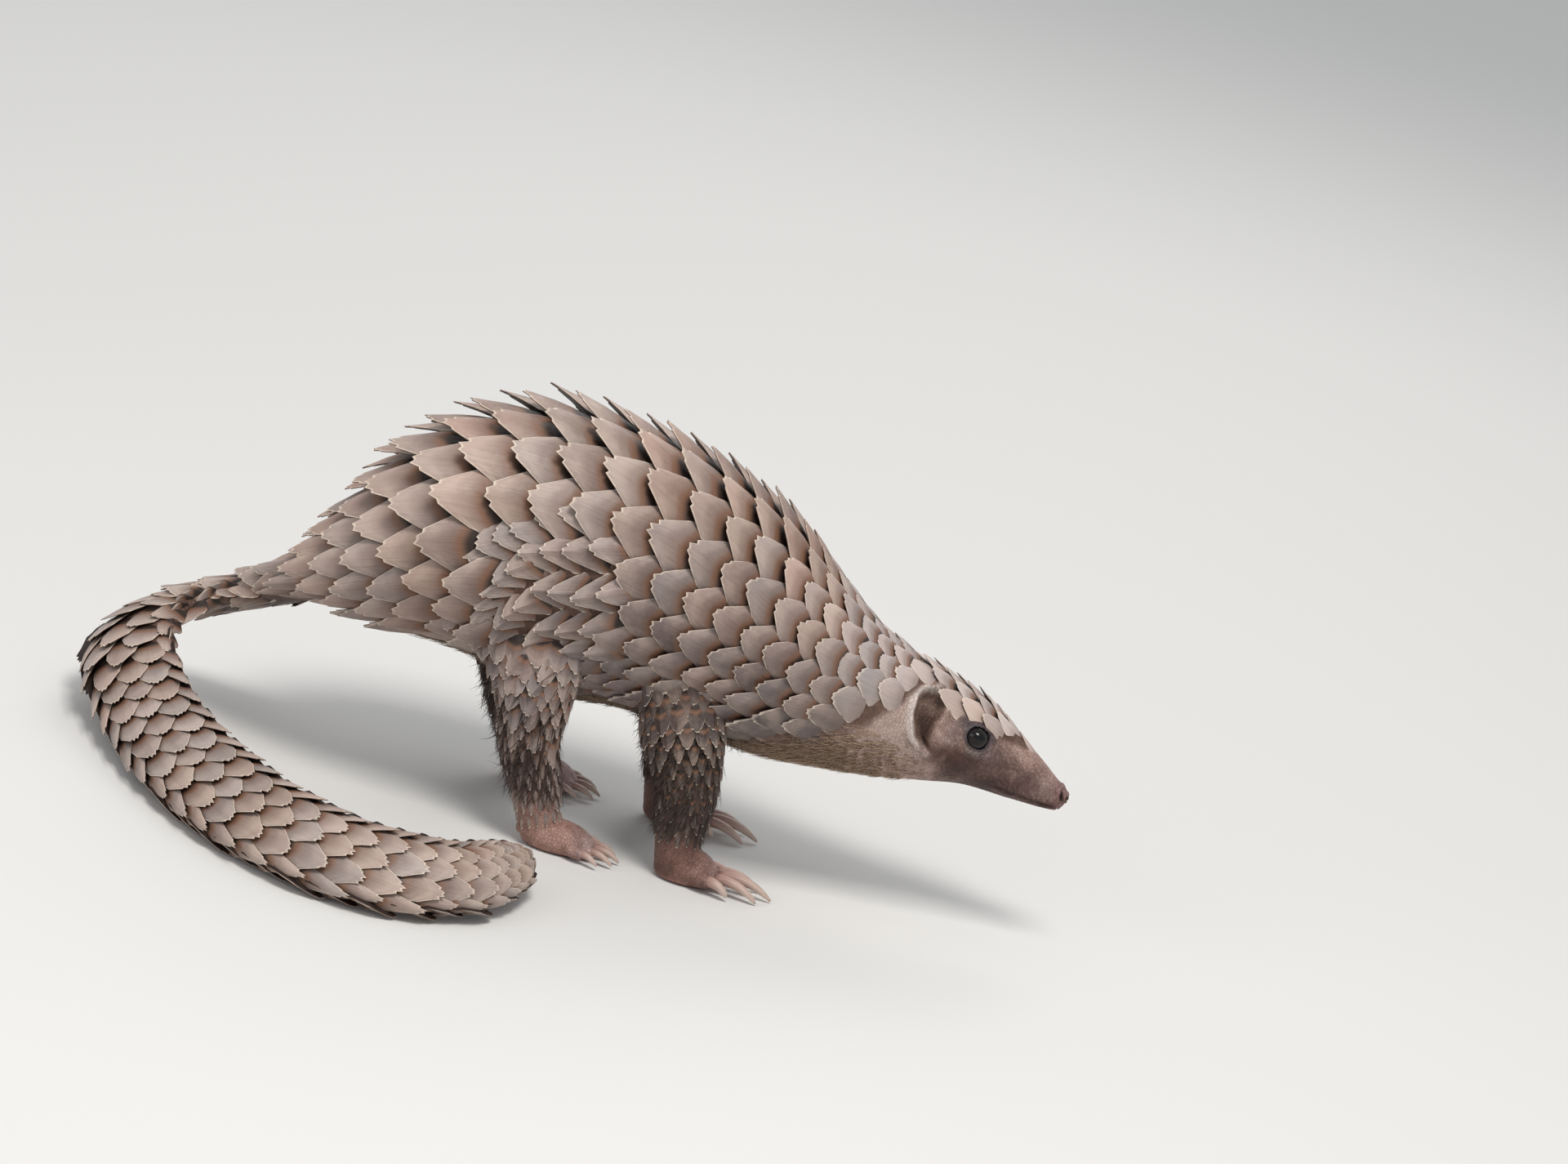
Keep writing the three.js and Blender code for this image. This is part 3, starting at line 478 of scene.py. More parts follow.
def join_solids(piece, others):
    """One closed surface round all the pieces, which are then removed."""
    collection = bpy.data.collections.new("joined")
    for other in others:
        collection.objects.link(other)
    cut = piece.modifiers.new("join", "BOOLEAN")
    cut.operation, cut.operand_type, cut.solver = "UNION", "COLLECTION", "MANIFOLD"
    cut.collection = collection
    graph = bpy.context.evaluated_depsgraph_get()
    joined = bpy.data.meshes.new_from_object(piece.evaluated_get(graph))
    piece.modifiers.remove(cut)
    piece.data = joined
    for other in others:
        bpy.data.objects.remove(other)
    bpy.data.collections.remove(collection)


def relax(piece, amount, rounds):
    """Moves each vertex towards the mean of its neighbours by its own amount, some rounds over."""
    places = places_of(piece)
    edges = read(piece.data.edges, "vertices", 2)
    a, b = edges.T
    degree = np.bincount(edges.ravel(), minlength=len(places))[:, None]
    for _ in range(rounds):
        total = np.zeros_like(places)
        np.add.at(total, a, places[b])
        np.add.at(total, b, places[a])
        places += amount[:, None] * (total / np.maximum(degree, 1) - places)
    piece.data.vertices.foreach_set("co", (places * MM).astype(np.float32).ravel())
    piece.data.update()


def leg_blend(places):
    """How much each point of the hide is smoothed: in a band round each leg's root, and round each
    foot where pad, toes and leg meet."""
    blend = np.zeros(len(places))
    for side in SIDES.values():
        for _, stations, foot, back in LEGS:
            top = on_side(stations[0, :3] + OUTLINE_MIDDLE, side, back)
            sideways = np.linalg.norm((places - top)[:, :2] / [34, 22], axis=1)
            band = smooth(44, 52, places[:, 2]) * (1 - smooth(84, 96, places[:, 2]))
            blend = np.maximum(blend, (1 - smooth(0.9, 1.5, sideways)) * band)
            sole = on_side(np.array(foot["pad"]) + OUTLINE_MIDDLE, side, back)
            near = np.linalg.norm((places - sole) / [24, 16, 14], axis=1)
            blend = np.maximum(blend, 0.55 * (1 - smooth(0.9, 1.4, near)))
    return blend


BLEND_ROUNDS = 14
join_solids(body_skin, leg_parts())
relax(body_skin, 0.5 * leg_blend(places_of(body_skin)), BLEND_ROUNDS)


# Finish of the hide

# Bare hide, matt and finely pebbled: dark brown under the scales as painted shade, pinkish beige
# with blotches on the throat, grey brown on the face, paler on the snout and darker on the jaw
# partly as painted light and shade, with a pale rim to the ear and painted shade in its hollow,
# pinker on the feet. The colours are painted on, with mottling and wrinkles over them and painted
# shade in the creases.

# Angle from the back, in degrees, down to which scales cover the body at a place along it
LOWER_BORDER = ([2.75, 3.11, 3.28, 3.72, 4.3, 4.92, 5.6, 6.06, 6.58, 7.06, 7.79, 8.28, 13.3, 13.7],
                [6, 18, 35, 49, 42, 35, 31, 66, 99, 114, 136, 145, 145, 181])


def paint(red, green, blue):
    """A colour seen as these values of 255, as the linear light that a shader takes."""
    return tuple(np.power(np.array([red, green, blue]) / 255, 2.2))


def mixed(share, a, b):
    """Colour a where the share is 0 and colour b where it is 1."""
    share = np.asarray(share)[:, None]
    return np.array(a) * (1 - share) + np.array(b) * share


class Nodes:
    """A material's nodes by short calls: add a node, set its inputs, and link what is a socket."""

    def __init__(self, name):
        self.material = bpy.data.materials.new(name)
        self.material.use_nodes = True
        self.tree = self.material.node_tree
        self.shader = self.tree.nodes["Principled BSDF"]

    def put(self, node, key, value):
        """Sets one input to a value, or links it where the value is another node's output."""
        socket = node.inputs[key]
        if isinstance(value, bpy.types.NodeSocket):
            self.tree.links.new(value, socket)
        elif isinstance(value, tuple) and len(value) == 3 and socket.type == "RGBA":
            socket.default_value = (*value, 1)
        else:
            socket.default_value = value

    def add(self, kind, *values, out=0, settings=(), **inputs):
        """A new node with its first inputs in order and others by name; gives one output."""
        node = self.tree.nodes.new("ShaderNode" + kind)
        for key, value in dict(settings).items():
            setattr(node, key, value)
        for key, value in enumerate(values):
            self.put(node, key, value)
        for key, value in inputs.items():
            self.put(node, key.replace("_", " "), value)
        return node.outputs[out]

    def place(self):
        """The place in the object's own coordinates, in metres."""
        return self.add("TexCoord", out=3)

    def own(self, name, out=0):
        """What the mesh itself stores under a name: 0 as a colour, 1 a vector, 2 a number."""
        return self.add("Attribute", out=out, settings={"attribute_name": name})

    def noise(self, place, scale, detail, **more):
        """Soft random values, finer with the scale and more broken with the detail."""
        return self.add("TexNoise", Vector=place, Scale=scale, Detail=detail, **more)

    def math(self, operation, a, b=0.0):
        """A sum, product or other operation on two numbers."""
        return self.add("Math", a, b, settings={"operation": operation})

    def mix(self, share, a, b, blend="MIX"):
        """Colour a where the share is 0 and b, or their product, where it is 1."""
        node = self.tree.nodes.new("ShaderNodeMix")
        node.data_type, node.blend_type = "RGBA", blend
        for key, value in ((0, share), (6, a), (7, b)):
            self.put(node, key, value)
        return node.outputs[2]

    def between(self, value, low, high, to_low=0.0, to_high=1.0):
        """A smooth step from one result at the low value to the other at the high value."""
        return self.add("MapRange", settings={"interpolation_type": "SMOOTHSTEP"}, Value=value,
                        From_Min=low, From_Max=high, To_Min=to_low, To_Max=to_high)

    def bump(self, height, distance, strength, *under):
        """The normal tipped as if the height, times the distance in metres, were there."""
        below = {"Normal": under[0]} if under else {}
        return self.add("Bump", Height=height, Distance=distance, Strength=strength, **below)

    def finish(self, colour, roughness, normal=None, specular=None):
        """Puts all this on the shader and gives the material."""
        self.put(self.shader, "Base Color", colour)
        self.put(self.shader, "Roughness", roughness)
        if specular is not None:
            self.shader.inputs["Specular IOR Level"].default_value = specular
        if normal is not None:
            self.put(self.shader, "Normal", normal)
        return self.material


def pace_at(t):
    """Millimetres of spine for one step of t."""
    step = 0.02
    ahead, behind = curve(BODY, np.asarray(t + step)), curve(BODY, np.asarray(t - step))
    return np.linalg.norm((ahead - behind)[..., :3], axis=-1) / (2 * step)


SPINE_SAMPLES, SEARCH_BATCH = 900, 1000


def along_and_around(places):
    """The nearest place on the spine, in steps of its stations, and the angle from the back that a
    point is seen at from there, in degrees."""
    fine = np.linspace(0, TAIL_TIP, SPINE_SAMPLES)
    spine = curve(BODY, fine)[:, :3] + OUTLINE_MIDDLE
    forward = unit(np.gradient(spine, axis=0))
    batches = np.array_split(places, 1 + len(places) // SEARCH_BATCH)
    nearest = np.concatenate([np.argmin(np.sum((batch[:, None] - spine)**2, axis=-1), axis=1)
                              for batch in batches])
    away = places - spine[nearest]
    across = unit(np.cross(forward[nearest], UPWARD))
    up = np.cross(across, forward[nearest])
    angle = np.arctan2(np.abs(np.sum(away * across, axis=1)), np.sum(away * up, axis=1))
    return fine[nearest], np.degrees(angle)


def from_leg(places, stations, side, back):
    """How far points are from a leg's middle line at their own height: forward and outward."""
    spine = on_side(stations[::-1, :3] + OUTLINE_MIDDLE, side, back)
    x, y = (np.interp(places[:, 2], spine[:, 2], spine[:, axis]) for axis in (0, 1))
    return places[:, 0] - x, side * (places[:, 1] - y)


# Blotches of the face: forward and down from the eye, half length, half height, share, colour
FACE_PATCHES = [
    (-7, -4.5, 6, 3.4, 0.85, 74, 63, 64),        # above and behind the eye, partly painted shade under the brow
    (-11, 2, 2.6, 4.5, 0.6, 168, 150, 148),
    (9, 3.5, 6, 4, 0.5, 140, 122, 122),
    (-5, 14, 7.5, 5, 0.9, 70, 42, 34),           # red brown cheek
    (17, 16, 17, 5.5, 0.8, 78, 54, 47),          # jaw, partly painted shade
    (20, -7, 6, 3, 0.6, 196, 166, 152),          # top of the snout, partly painted light
    (5, 4, 3.5, 2, 0.4, 96, 84, 88),
    (-1, 9, 4, 3, 0.45, 112, 78, 66),
    (33, 7, 5, 4, 0.4, 120, 90, 92),
    (28, -3, 8, 3, 0.35, 168, 138, 126),
    (27, 9, 4, 2.5, 0.45, 104, 74, 72),
    (5, 13, 9, 4.5, 0.6, 82, 58, 50),
    (39.5, 2.5, 2.6, 4.5, 0.6, 172, 146, 140),   # round the nostril
    (46, 1, 2.6, 3, 0.6, 112, 78, 80),
    (14, 9, 3, 2, 0.35, 96, 72, 66),
]
FOOT_COLOURS = {"hind": ((156, 120, 108), (190, 164, 160)),       # foot, then toes
                "fore": ((122, 90, 80), (150, 122, 116))}
FAR_AWAY = 50                                    # eye distance that only the other side has


def hide_colours(places):
    """The hide's colour at each point: a ground colour, then patches laid over it one by one."""
    t, degrees = along_and_around(places)
    height = places[:, 2]
    tint = np.tile(paint(184, 157, 146), (len(places), 1))

    def lay(share, *colour):
        tint[:] = mixed(share, tint, paint(*colour))

    blotch = np.sin(places @ [0.31, 0.19, 0.27]) * np.sin(places @ [-0.17, 0.33, 0.21] + 1)
    lay(0.5 * smooth(0.1, 0.8, blotch) * smooth(4.6, 5.6, t), 128, 98, 82)
    lay(smooth(8.0, 9.4, t) * smooth(110, 130, degrees), 118, 98, 90)
    # the face: paler and pinker on top of the snout, partly painted light, and darker along the
    # jaw, partly painted shade
    lay(smooth(5.0, 4.2, t), 114, 90, 82)
    lay(smooth(4.0, 3.0, t) * smooth(75, 40, degrees), 154, 126, 117)
    lay(0.75 * smooth(4.9, 4.2, t) * smooth(84, 112, degrees), 86, 62, 55)
    lay(0.7 * smooth(1.8, 1.0, t), 150, 114, 110)
    lay(0.85 * hill(np.hypot((t - 4.75) * 19 / 10, (degrees - 103) * 0.38 / 7)), 84, 50, 40)
    mottle = (np.sin(places @ [1.1, 0.7, 0.9] + 2 * np.sin(places @ [0.4, -0.8, 0.5]))
              * np.sin(places @ [-0.7, 1.0, 0.9] + 2 * np.sin(places @ [0.6, 0.5, -0.7])))
    lay(0.34 * smooth(0.1, 0.8, mottle) * smooth(5.4, 4.6, t), 88, 62, 54)
    lay(0.26 * smooth(-0.1, -0.8, mottle) * smooth(5.4, 4.6, t), 172, 142, 132)
    # the ear: pale rim, dark cup in front of it, deepest as painted shade in its hollow, pale skin
    # behind
    fold = np.interp(degrees, EAR_FOLD[:, 1], EAR_FOLD[:, 0])
    ahead = (fold - t) * pace_at(t)
    lay(0.8 * smooth(40, 60, degrees) * smooth(130, 104, degrees) * smooth(1, -2, ahead)
        * smooth(-30, -10, ahead), 180, 158, 148)
    edge, rear = in_cup(ahead, degrees)
    near = smooth(34, 26, np.abs(ahead)) * smooth(20, 28, degrees) * smooth(114, 106, degrees)
    lay(0.95 * near * smooth(-0.2, 1.6, edge), 116, 94, 82)
    # painted shade deep in the ear's hollow
    lay(0.9 * near * smooth(1.0, 4.0, edge) * smooth(48, 70, degrees), 72, 50, 42)
    lay(near * rear * smooth(-4.0, -2.4, edge) * smooth(0.9, 0.0, edge), 208, 194, 186)
    lay(0.9 * hill(np.hypot(ahead - 1.5, (degrees - 105) * 0.4) / 2.2), 196, 172, 164)
    for side in SIDES.values():
        forward, below, ring, *_ = eye_distance(places, side)
        for x, y, wide, high, share, *colour in FACE_PATCHES:
            near = hill(np.hypot((forward - x) / wide, (below - y) / high))
            lay(share * near * (ring < FAR_AWAY), *colour)
        # the lids: pale streaks under the eye, a dark fold above, partly painted shade under the
        # brow, dark rims
        under = smooth(1, 4.5, below) * smooth(-4, 0, forward) * smooth(8, 4, forward)
        streaks = 0.5 + 0.2 * np.sin(3.1 * forward + below)
        lay(hill((ring - 1.6) / 0.3) * under * streaks, 176, 168, 160)
        lay(0.8 * hill((ring - 1.5) / 0.4) * smooth(1, -3, below), 76, 64, 66)
        lay(0.9 * smooth(1.46, 1.12, ring), 86, 78, 82)
        lay(smooth(1.08, 0.98, ring), 50, 44, 47)
        # the hole of the nostril, painted near black as the shade in its slit
        ahead = (NOSTRIL_PLACE - t) * pace_at(t)
        below = (degrees - NOSTRIL_ANGLE) * 0.11
        slit = np.hypot((ahead - NOSTRIL_SLANT * below) / 0.75, below / 2.4)
        lay(smooth(1.3, 0.7, slit), 40, 22, 22)
    # painted shade under the scales: the hide dark brown where they cover it
    border = np.interp(t, *LOWER_BORDER)
    under_scales_shade = smooth(2, -6, (degrees - border) * 0.5) * smooth(2.9, 3.3, t)
    lay(0.9 * under_scales_shade, 92, 66, 52)
    # the legs and feet, pinkest on the toes and by the sole
    for side in SIDES.values():
        for kind, stations, foot, back in LEGS:
            forward, outward = from_leg(places, stations, side, back)
            lay(smooth(34, 24, np.hypot(forward, outward)) * smooth(84, 66, height), 96, 74, 66)
            sole = on_side(np.array(foot["pad"]) + OUTLINE_MIDDLE, side, back)
            on_foot = smooth(44, 34, np.hypot(*(places - sole)[:, :2].T)) * smooth(27, 17, height)
            foot_colour, toe_colour = FOOT_COLOURS[kind]
            lay(on_foot, *foot_colour)
            toes = on_foot * smooth(3, 15, places[:, 0] - sole[0])
            lay(0.8 * toes, *toe_colour)
            lay(0.6 * on_foot * smooth(3.5, 1.0, height), 176, 130, 116)
    return tint


def store(piece, name, kind, values):
    """Stores a number, a vector or a colour for each vertex of a piece's mesh."""
    if kind == "FLOAT_COLOR":
        values = np.concatenate([values, np.ones((len(values), 1))], axis=1)
    layer = piece.data.attributes.new(name, kind, "POINT")
    field = {"FLOAT": "value", "FLOAT_VECTOR": "vector", "FLOAT_COLOR": "color"}[kind]
    layer.data.foreach_set(field, values.astype(np.float32).ravel())


def hide_finish():
    """Mottled, matt hide with fine pebbles, larger wrinkles and pores in its bump, and painted
    shade in the pebbles' creases.
    """
    hide = Nodes("hide")
    place = hide.place()
    own = hide.own("hide_colour")
    mottle = hide.noise(place, 95.0, 5.0, Roughness=0.62)
    grain = hide.noise(place, 700.0, 3.0, Roughness=0.6)
    pebbles = hide.add("TexVoronoi", settings={"feature": "DISTANCE_TO_EDGE"}, Vector=place,
                       Scale=620.0)
    drawn = hide.add("Mapping", Vector=place, Rotation=(0.3, 0.5, 0.2), Scale=(1.0, 1.0, 0.45))
    folds = hide.noise(drawn, 330.0, 4.0, Roughness=0.55, Distortion=0.9)
    darker = hide.mix(1.0, own, (0.55, 0.50, 0.48), "MULTIPLY")
    paler = hide.mix(0.28, own, paint(206, 184, 170))
    colour = hide.mix(hide.between(mottle, 0.36, 0.62), darker, own)
    colour = hide.mix(hide.between(mottle, 0.55, 0.78, 0.0, 0.8), colour, paler)
    creases = hide.between(pebbles, 0.0, 0.09)
    # painted shade in the creases between the pebbles
    crease_shade = hide.math("MULTIPLY", hide.math("SUBTRACT", 1.0, creases), 0.45)
    colour = hide.mix(crease_shade, colour, darker)
    roughness = hide.between(grain, 0.25, 0.75, 0.46, 0.68)
    relief = hide.bump(folds, 0.0011, 0.8)
    relief = hide.bump(creases, 0.00025, 0.8, relief)
    relief = hide.bump(grain, 0.00015, 0.5, relief)
    return hide.finish(colour, roughness, relief, specular=0.4)


skin_places = places_of(body_skin)
store(body_skin, "hide_colour", "FLOAT_COLOR", hide_colours(skin_places))
body_skin.data.materials.clear()
body_skin.data.materials.append(hide_finish())
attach(body_skin, "root")
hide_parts(*[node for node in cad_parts
                         if "eye" not in node and "claw" not in node])


# Eyes

# Dark wet balls, near black, with a dim brown ring round the pupil. Each is one closed ball set
# deep behind the lids, and its clear front stands out a little.

EYE_SIZE = (5.6, 4.95, 5.3)                      # half length, half height, half depth
EYE_GRID = (36, 56)
CORNEA = 0.35                                    # how far the clear front stands out


def eye_finish():
    """Wet black brown: by the angle off the eye's middle, a dim ring with rays round the pupil."""
    eye = Nodes("eye")
    off = eye.own("off_middle", out=2)
    rays = eye.noise(eye.place(), 900.0, 2.0)
    iris = eye.mix(eye.between(rays, 0.35, 0.65), (0.004, 0.003, 0.003), (0.012, 0.007, 0.005))
    colour = eye.mix(eye.between(off, 0.40, 0.47), (0.003, 0.003, 0.003), iris)
    colour = eye.mix(eye.between(off, 0.80, 0.98), colour, (0.008, 0.007, 0.008))
    return eye.finish(colour, eye.between(rays, 0.2, 0.8, 0.03, 0.06), specular=0.3)


def eye_rings(side):
    """A ball of three half sizes round the eye's middle: circles of radius sin(off) at cos(off)
    outwards, with the clear front as a rounded hill. Also the angle off the middle."""
    angle = np.array(side * np.radians(EYE_ANGLE))
    middle, out, forward, down = body_frame(np.array(EYE_PLACE), angle)
    off, turn = crossed(np.linspace(0.01, np.pi - 0.01, EYE_GRID[0]), around(EYE_GRID[1]))
    ball = (np.sin(off) * np.cos(turn))[..., None] * forward * EYE_SIZE[0]
    ball = ball + (np.sin(off) * np.sin(turn))[..., None] * down * EYE_SIZE[1]
    ball = ball + (np.cos(off) * EYE_SIZE[2] + CORNEA * hill(off / 0.5))[..., None] * out
    return middle - out * EYE_SUNK + ball, off


eye_wet = eye_finish()
for name, side in SIDES.items():
    rings, off = eye_rings(side)
    eye_ball = tube_piece("eye_ball_" + name, rings, eye_wet)
    store(eye_ball, "off_middle", "FLOAT", np.concatenate([off.ravel(), [0, np.pi]]))
    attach(eye_ball, "root")
    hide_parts("eye_" + name)


# Claws

# Five horn claws to a foot, curved and tapered, rounded above and flatter below, sunk in the toe's
# end; the three middle ones of each fore foot are long digging claws. Each foot's are one piece.

CLAW_STATIONS, CLAW_RINGS, CLAW_COLUMNS = 11, 31, 20
CLAW_IN_TOE = 2.4                                # how deep a claw is sunk in its toe
CLAW_RIDGE = 0.05                                # height of the ridge as a share of the thickness
CLAW_FLOOR = 0.2                                 # the lowest height of a claw above the floor


def claw_rings(foot, place, way, long):
    """A claw's rings: forward by its length, down by the drop times share^2.5, ever thinner."""
    share = np.linspace(0, 1, CLAW_STATIONS)
    fall = foot["drop"] * min(1.0, long / 12) * share**2.5
    fall = fall - 0.28 * long * share * (1 - share)
    forward = foot["front"] - CLAW_IN_TOE + share * (long + CLAW_IN_TOE)
    path = place + way * forward[:, None] - fall[:, None] * UPWARD
    size = foot["claw"] * (1.06 - 0.30 * share - 0.52 * share**5)
    stations = np.column_stack([path, 0.88 * size, size, 0.72 * size, np.zeros(CLAW_STATIONS)])
    last = CLAW_STATIONS - 1
    t, angle = crossed(np.linspace(0, last, CLAW_RINGS), around(CLAW_COLUMNS))
    rings = limb(stations, t, angle, UPWARD)
    # a low ridge along the top
    rings[..., 2] += foot["claw"] * CLAW_RIDGE * hill(angle / 0.35) * (1 - t / last)
    rings[..., 2] = np.maximum(rings[..., 2], CLAW_FLOOR)
    marks = np.stack([t / last, 0.5 + 0.5 * np.cos(angle), 0.5 + 0.5 * np.sin(angle)], axis=-1)
    return rings, marks


def claw_finish():
    """Pinkish brown horn, paler towards the tip, with streaks along it."""
    claw = Nodes("claw")
    marks = claw.own("claw_marks", out=1)
    along = claw.add("SeparateXYZ", marks)
    place = claw.place()
    drawn = claw.add("Mapping", Vector=marks, Scale=(2.5, 15.0, 15.0))
    streaks = claw.noise(drawn, 1.0, 4.0, Roughness=0.6)
    fine = claw.noise(place, 900.0, 2.0)
    colour = claw.mix(claw.between(along, 0.12, 0.9), paint(158, 122, 112), paint(206, 184, 170))
    colour = claw.mix(claw.between(streaks, 0.42, 0.7, 0.0, 0.75), colour, paint(112, 84, 74))
    colour = claw.mix(claw.between(along, 0.2, 0.05), colour, paint(96, 66, 56))
    roughness = claw.between(fine, 0.2, 0.8, 0.30, 0.48)
    relief = claw.bump(streaks, 0.0003, 0.7)
    return claw.finish(colour, roughness, claw.bump(fine, 0.0001, 0.3, relief))


def for_copies(faces, count, size):
    """The same faces on each of many runs of vertices, each run as long as the size, as a list."""
    faces = np.asarray(faces)
    offsets = (np.arange(count) * size)[:, None, None]
    return (faces[None] + offsets).reshape(-1, faces.shape[1]).tolist()


claw_horn = claw_finish()
for name, side in SIDES.items():
    for kind, _, foot, back in LEGS:
        rings, marks = zip(*[claw_rings(foot, *root, long)
                             for *root, long in zip(*toe_roots(foot), foot["lengths"])])
        rings = on_side(np.array(rings), side, back)
        count, rows, columns = rings.shape[:3]
        first_ring = np.arange(columns)
        last_ring = first_ring + (rows - 1) * columns
        faces = [face for part in (grid_faces(rows, columns), [first_ring[::-1]], [last_ring])
                 for face in for_copies(part, count, rows * columns)]
        claws = new_piece(f"{kind}_claws_{name}", rings, faces, claw_horn)
        face_outwards(claws)
        store(claws, "claw_marks", "FLOAT_VECTOR", np.array(marks))
        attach(claws, "root")
        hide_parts(*[f"{kind}_claw_{name}_{number}" for number in range(1, 6)])


# Horn scales of the back and flanks

# Overlapping shields of horn, each rooted in a fold of the hide and free at its jagged end, pale
# at the worn edge and orange brown at the root, with painted shade towards the root and a painted
# shadow where it lies under the scale ahead. They point to the tail in 19 lines from flank to
# flank, every other line set half a scale back.

MAP_STEP, MAP_COLUMNS = 0.02, 193                # body map: step along in stations, points around
PLATE_ROWS = np.array([0.0, 0.26, 0.5, 0.7, 0.86, 1.0])
PLATE_COLUMNS = np.array([-1, -0.66, -0.40, -0.27, -0.14, 0, 0.14, 0.27, 0.40, 0.66, 1])


def equal_girth(points):
    """Points of closed rings, open at the belly, moved along their ring to equal spacing, and how
    long each ring is."""
    length = length_along(points)
    share = np.linspace(0, 1, points.shape[1])
    rows = [[np.interp(share, s / s[-1], ring[:, axis]) for axis in range(3)]
            for s, ring in zip(length, points)]
    return np.array(rows).transpose(0, 2, 1), length[:, -1]


map_t = np.arange(0, TAIL_TIP + 1e-6, MAP_STEP)
map_angle = np.linspace(-np.pi, np.pi, MAP_COLUMNS)
body_map, body_girth = equal_girth(body(*crossed(map_t, map_angle)))


def looked_up(table, x, y):
    """A table at row x and column y: the mean of the four nearest entries, by their nearness."""
    i, j = np.floor(x).astype(int), np.minimum(np.floor(y).astype(int), table.shape[1] - 2)
    fx, fy = (f.reshape(f.shape + (1,) * (table.ndim - 2)) for f in (x - i, y - j))
    low = table[i, j] * (1 - fy) + table[i, j + 1] * fy
    high = table[i + 1, j] * (1 - fy) + table[i + 1, j + 1] * fy
    return low * (1 - fx) + high * fx


def map_lookup(t, share):
    """The body map at a place t along and a share from -1 to 1 of half the girth, 0 on the back.
    The share closes on itself."""
    return looked_up(body_map, np.clip(t / MAP_STEP, 0, len(body_map) - 1.001),
                     ((share + 1) % 2) / 2 * (MAP_COLUMNS - 1))


def girth_at(t):
    """Half the distance round the body at t, in millimetres."""
    return np.interp(t, map_t, body_girth) / 2


def on_body(t, share):
    """Place, outward normal and tailward direction of the body's surface."""
    dt, ds = 0.06, 0.02
    way = unit(map_lookup(np.minimum(t + dt, TAIL_TIP), share) - map_lookup(t - dt, share))
    side = map_lookup(t, share + ds) - map_lookup(t, share - ds)
    return map_lookup(t, share), unit(np.cross(side, way)), way


def scales_on(surface, a, b, across, size):
    """The places, directions and curvature of scales at surface parameters a and b. The surface
    bends across a scale by the turn of its normal from one edge of the scale to the other."""
    place, out, way = surface(a, b)
    step = size / across
    left_place, left_out, _ = surface(a, b - step)
    right_place, right_out, _ = surface(a, b + step)
    span = np.maximum(np.linalg.norm(right_place - left_place, axis=1), 1e-6)
    turn = np.arccos(np.clip(np.sum(left_out * right_out, axis=1), -1, 1))
    return dict(place=place, out=out, way=way, side=np.cross(out, way), bend=turn / span)


TEETH = 0.026                                    # depth of the saw at a scale's end
MOST_BEND = 0.14                                 # sharpest curve across a scale, per millimetre
PRESSED_FROM, PRESSED_TO = 0.7, 0.06             # depths below this height shrink to this share
UNDER_FACE_UV = 0.3                              # the under face has the root's colours, its painted shade among them


def scale_mesh(scales, teeth):
    """Places, faces and plate UV of many scales, each a shield on a grid of x from root to tip and
    s from side to side. Half width = the width times a rise from the narrow root to the middle and
    a slight fall to the end. Length = 1 less the taper times |s|^1.5, with small teeth at the end.
    Height = lift x - sink + crown (1 - s^2) + keel at s = 0 - bend y^2 / 2 - fall x^2 / 2. The
    under face follows the rim at the plate's thickness. What would reach below the floor is
    pressed flat just above it."""
    n, rows, columns = len(scales["place"]), len(PLATE_ROWS), len(PLATE_COLUMNS)
    each = {name: values[:, None, None] for name, values in scales.items()}
    x, s = (table[None] for table in crossed(PLATE_ROWS, PLATE_COLUMNS))
    saw = np.where(np.arange(columns) % 2 == 0, 1.0, -1.0) * (np.abs(PLATE_COLUMNS) < 0.5)
    jag = teeth * saw[None, None] * (1 + 0.7 * scales["jitter"][:, None, :]) * (x > 0.95)
    length = each["long"] * x * (1 - each["taper"] * np.abs(s)**1.5 + jag)
    narrow = 0.50 + 0.50 * smooth(0, 0.5, x) - each["point"] * smooth(0.6, 1.0, x)
    width = each["half"] * s * narrow
    rise = smooth(0.0, 0.35, x) * (1 - 0.35 * smooth(0.7, 1, x))
    height = (each["lift"] * length - each["sink"] + each["crown"] * (1 - s**2) * rise
              + each["keel"] * hill(s / 0.2) * smooth(0.15, 0.5, x) - each["curl"] * x**2
              - 0.5 * np.minimum(each["bend"], MOST_BEND) * width**2
              - 0.5 * each["fall"] * length**2)
    top = each["place"] + each["way"] * length[..., None] + each["side"] * width[..., None]
    top = (top + each["out"] * height[..., None]).reshape(n, -1, 3)
    rim = np.concatenate([np.arange(rows - 1) * columns, (rows - 1) * columns + np.arange(columns),
                          np.arange(rows - 1)[::-1] * columns + columns - 1])
    thick = np.broadcast_to(each["thick"] * (1 - 0.45 * x), (n, rows, columns)).reshape(n, -1)
    under = top[:, rim] - scales["out"][:, None] * thick[:, rim, None]
    places = np.concatenate([top, under], axis=1)
    above = places[..., 2] - PRESSED_FROM
    places[..., 2] = np.where(above < 0, PRESSED_FROM + PRESSED_TO * above, places[..., 2])
    # the top, a wall round the rim, the under face from side to side, its end, and the root
    first, last = rows * columns, len(rim) - 1
    faces = [list(face) for face in grid_faces(rows, columns, closed=False)]
    faces += [[rim[i + 1], rim[i], first + i, first + i + 1] for i in range(last)]
    faces += [[first + i, first + last - i, first + last - i - 1, first + i + 1]
              for i in range(rows - 2)]
    faces.append([first + i for i in range(rows - 2, last - (rows - 2) + 1)][::-1])
    faces.append([*range(columns), first + last, first])
    uv = np.stack([s[0] * 0.5 + 0.5, x[0]], axis=-1).reshape(-1, 2)
    return places, faces, np.concatenate([uv, uv[rim] * [1, UNDER_FACE_UV]])


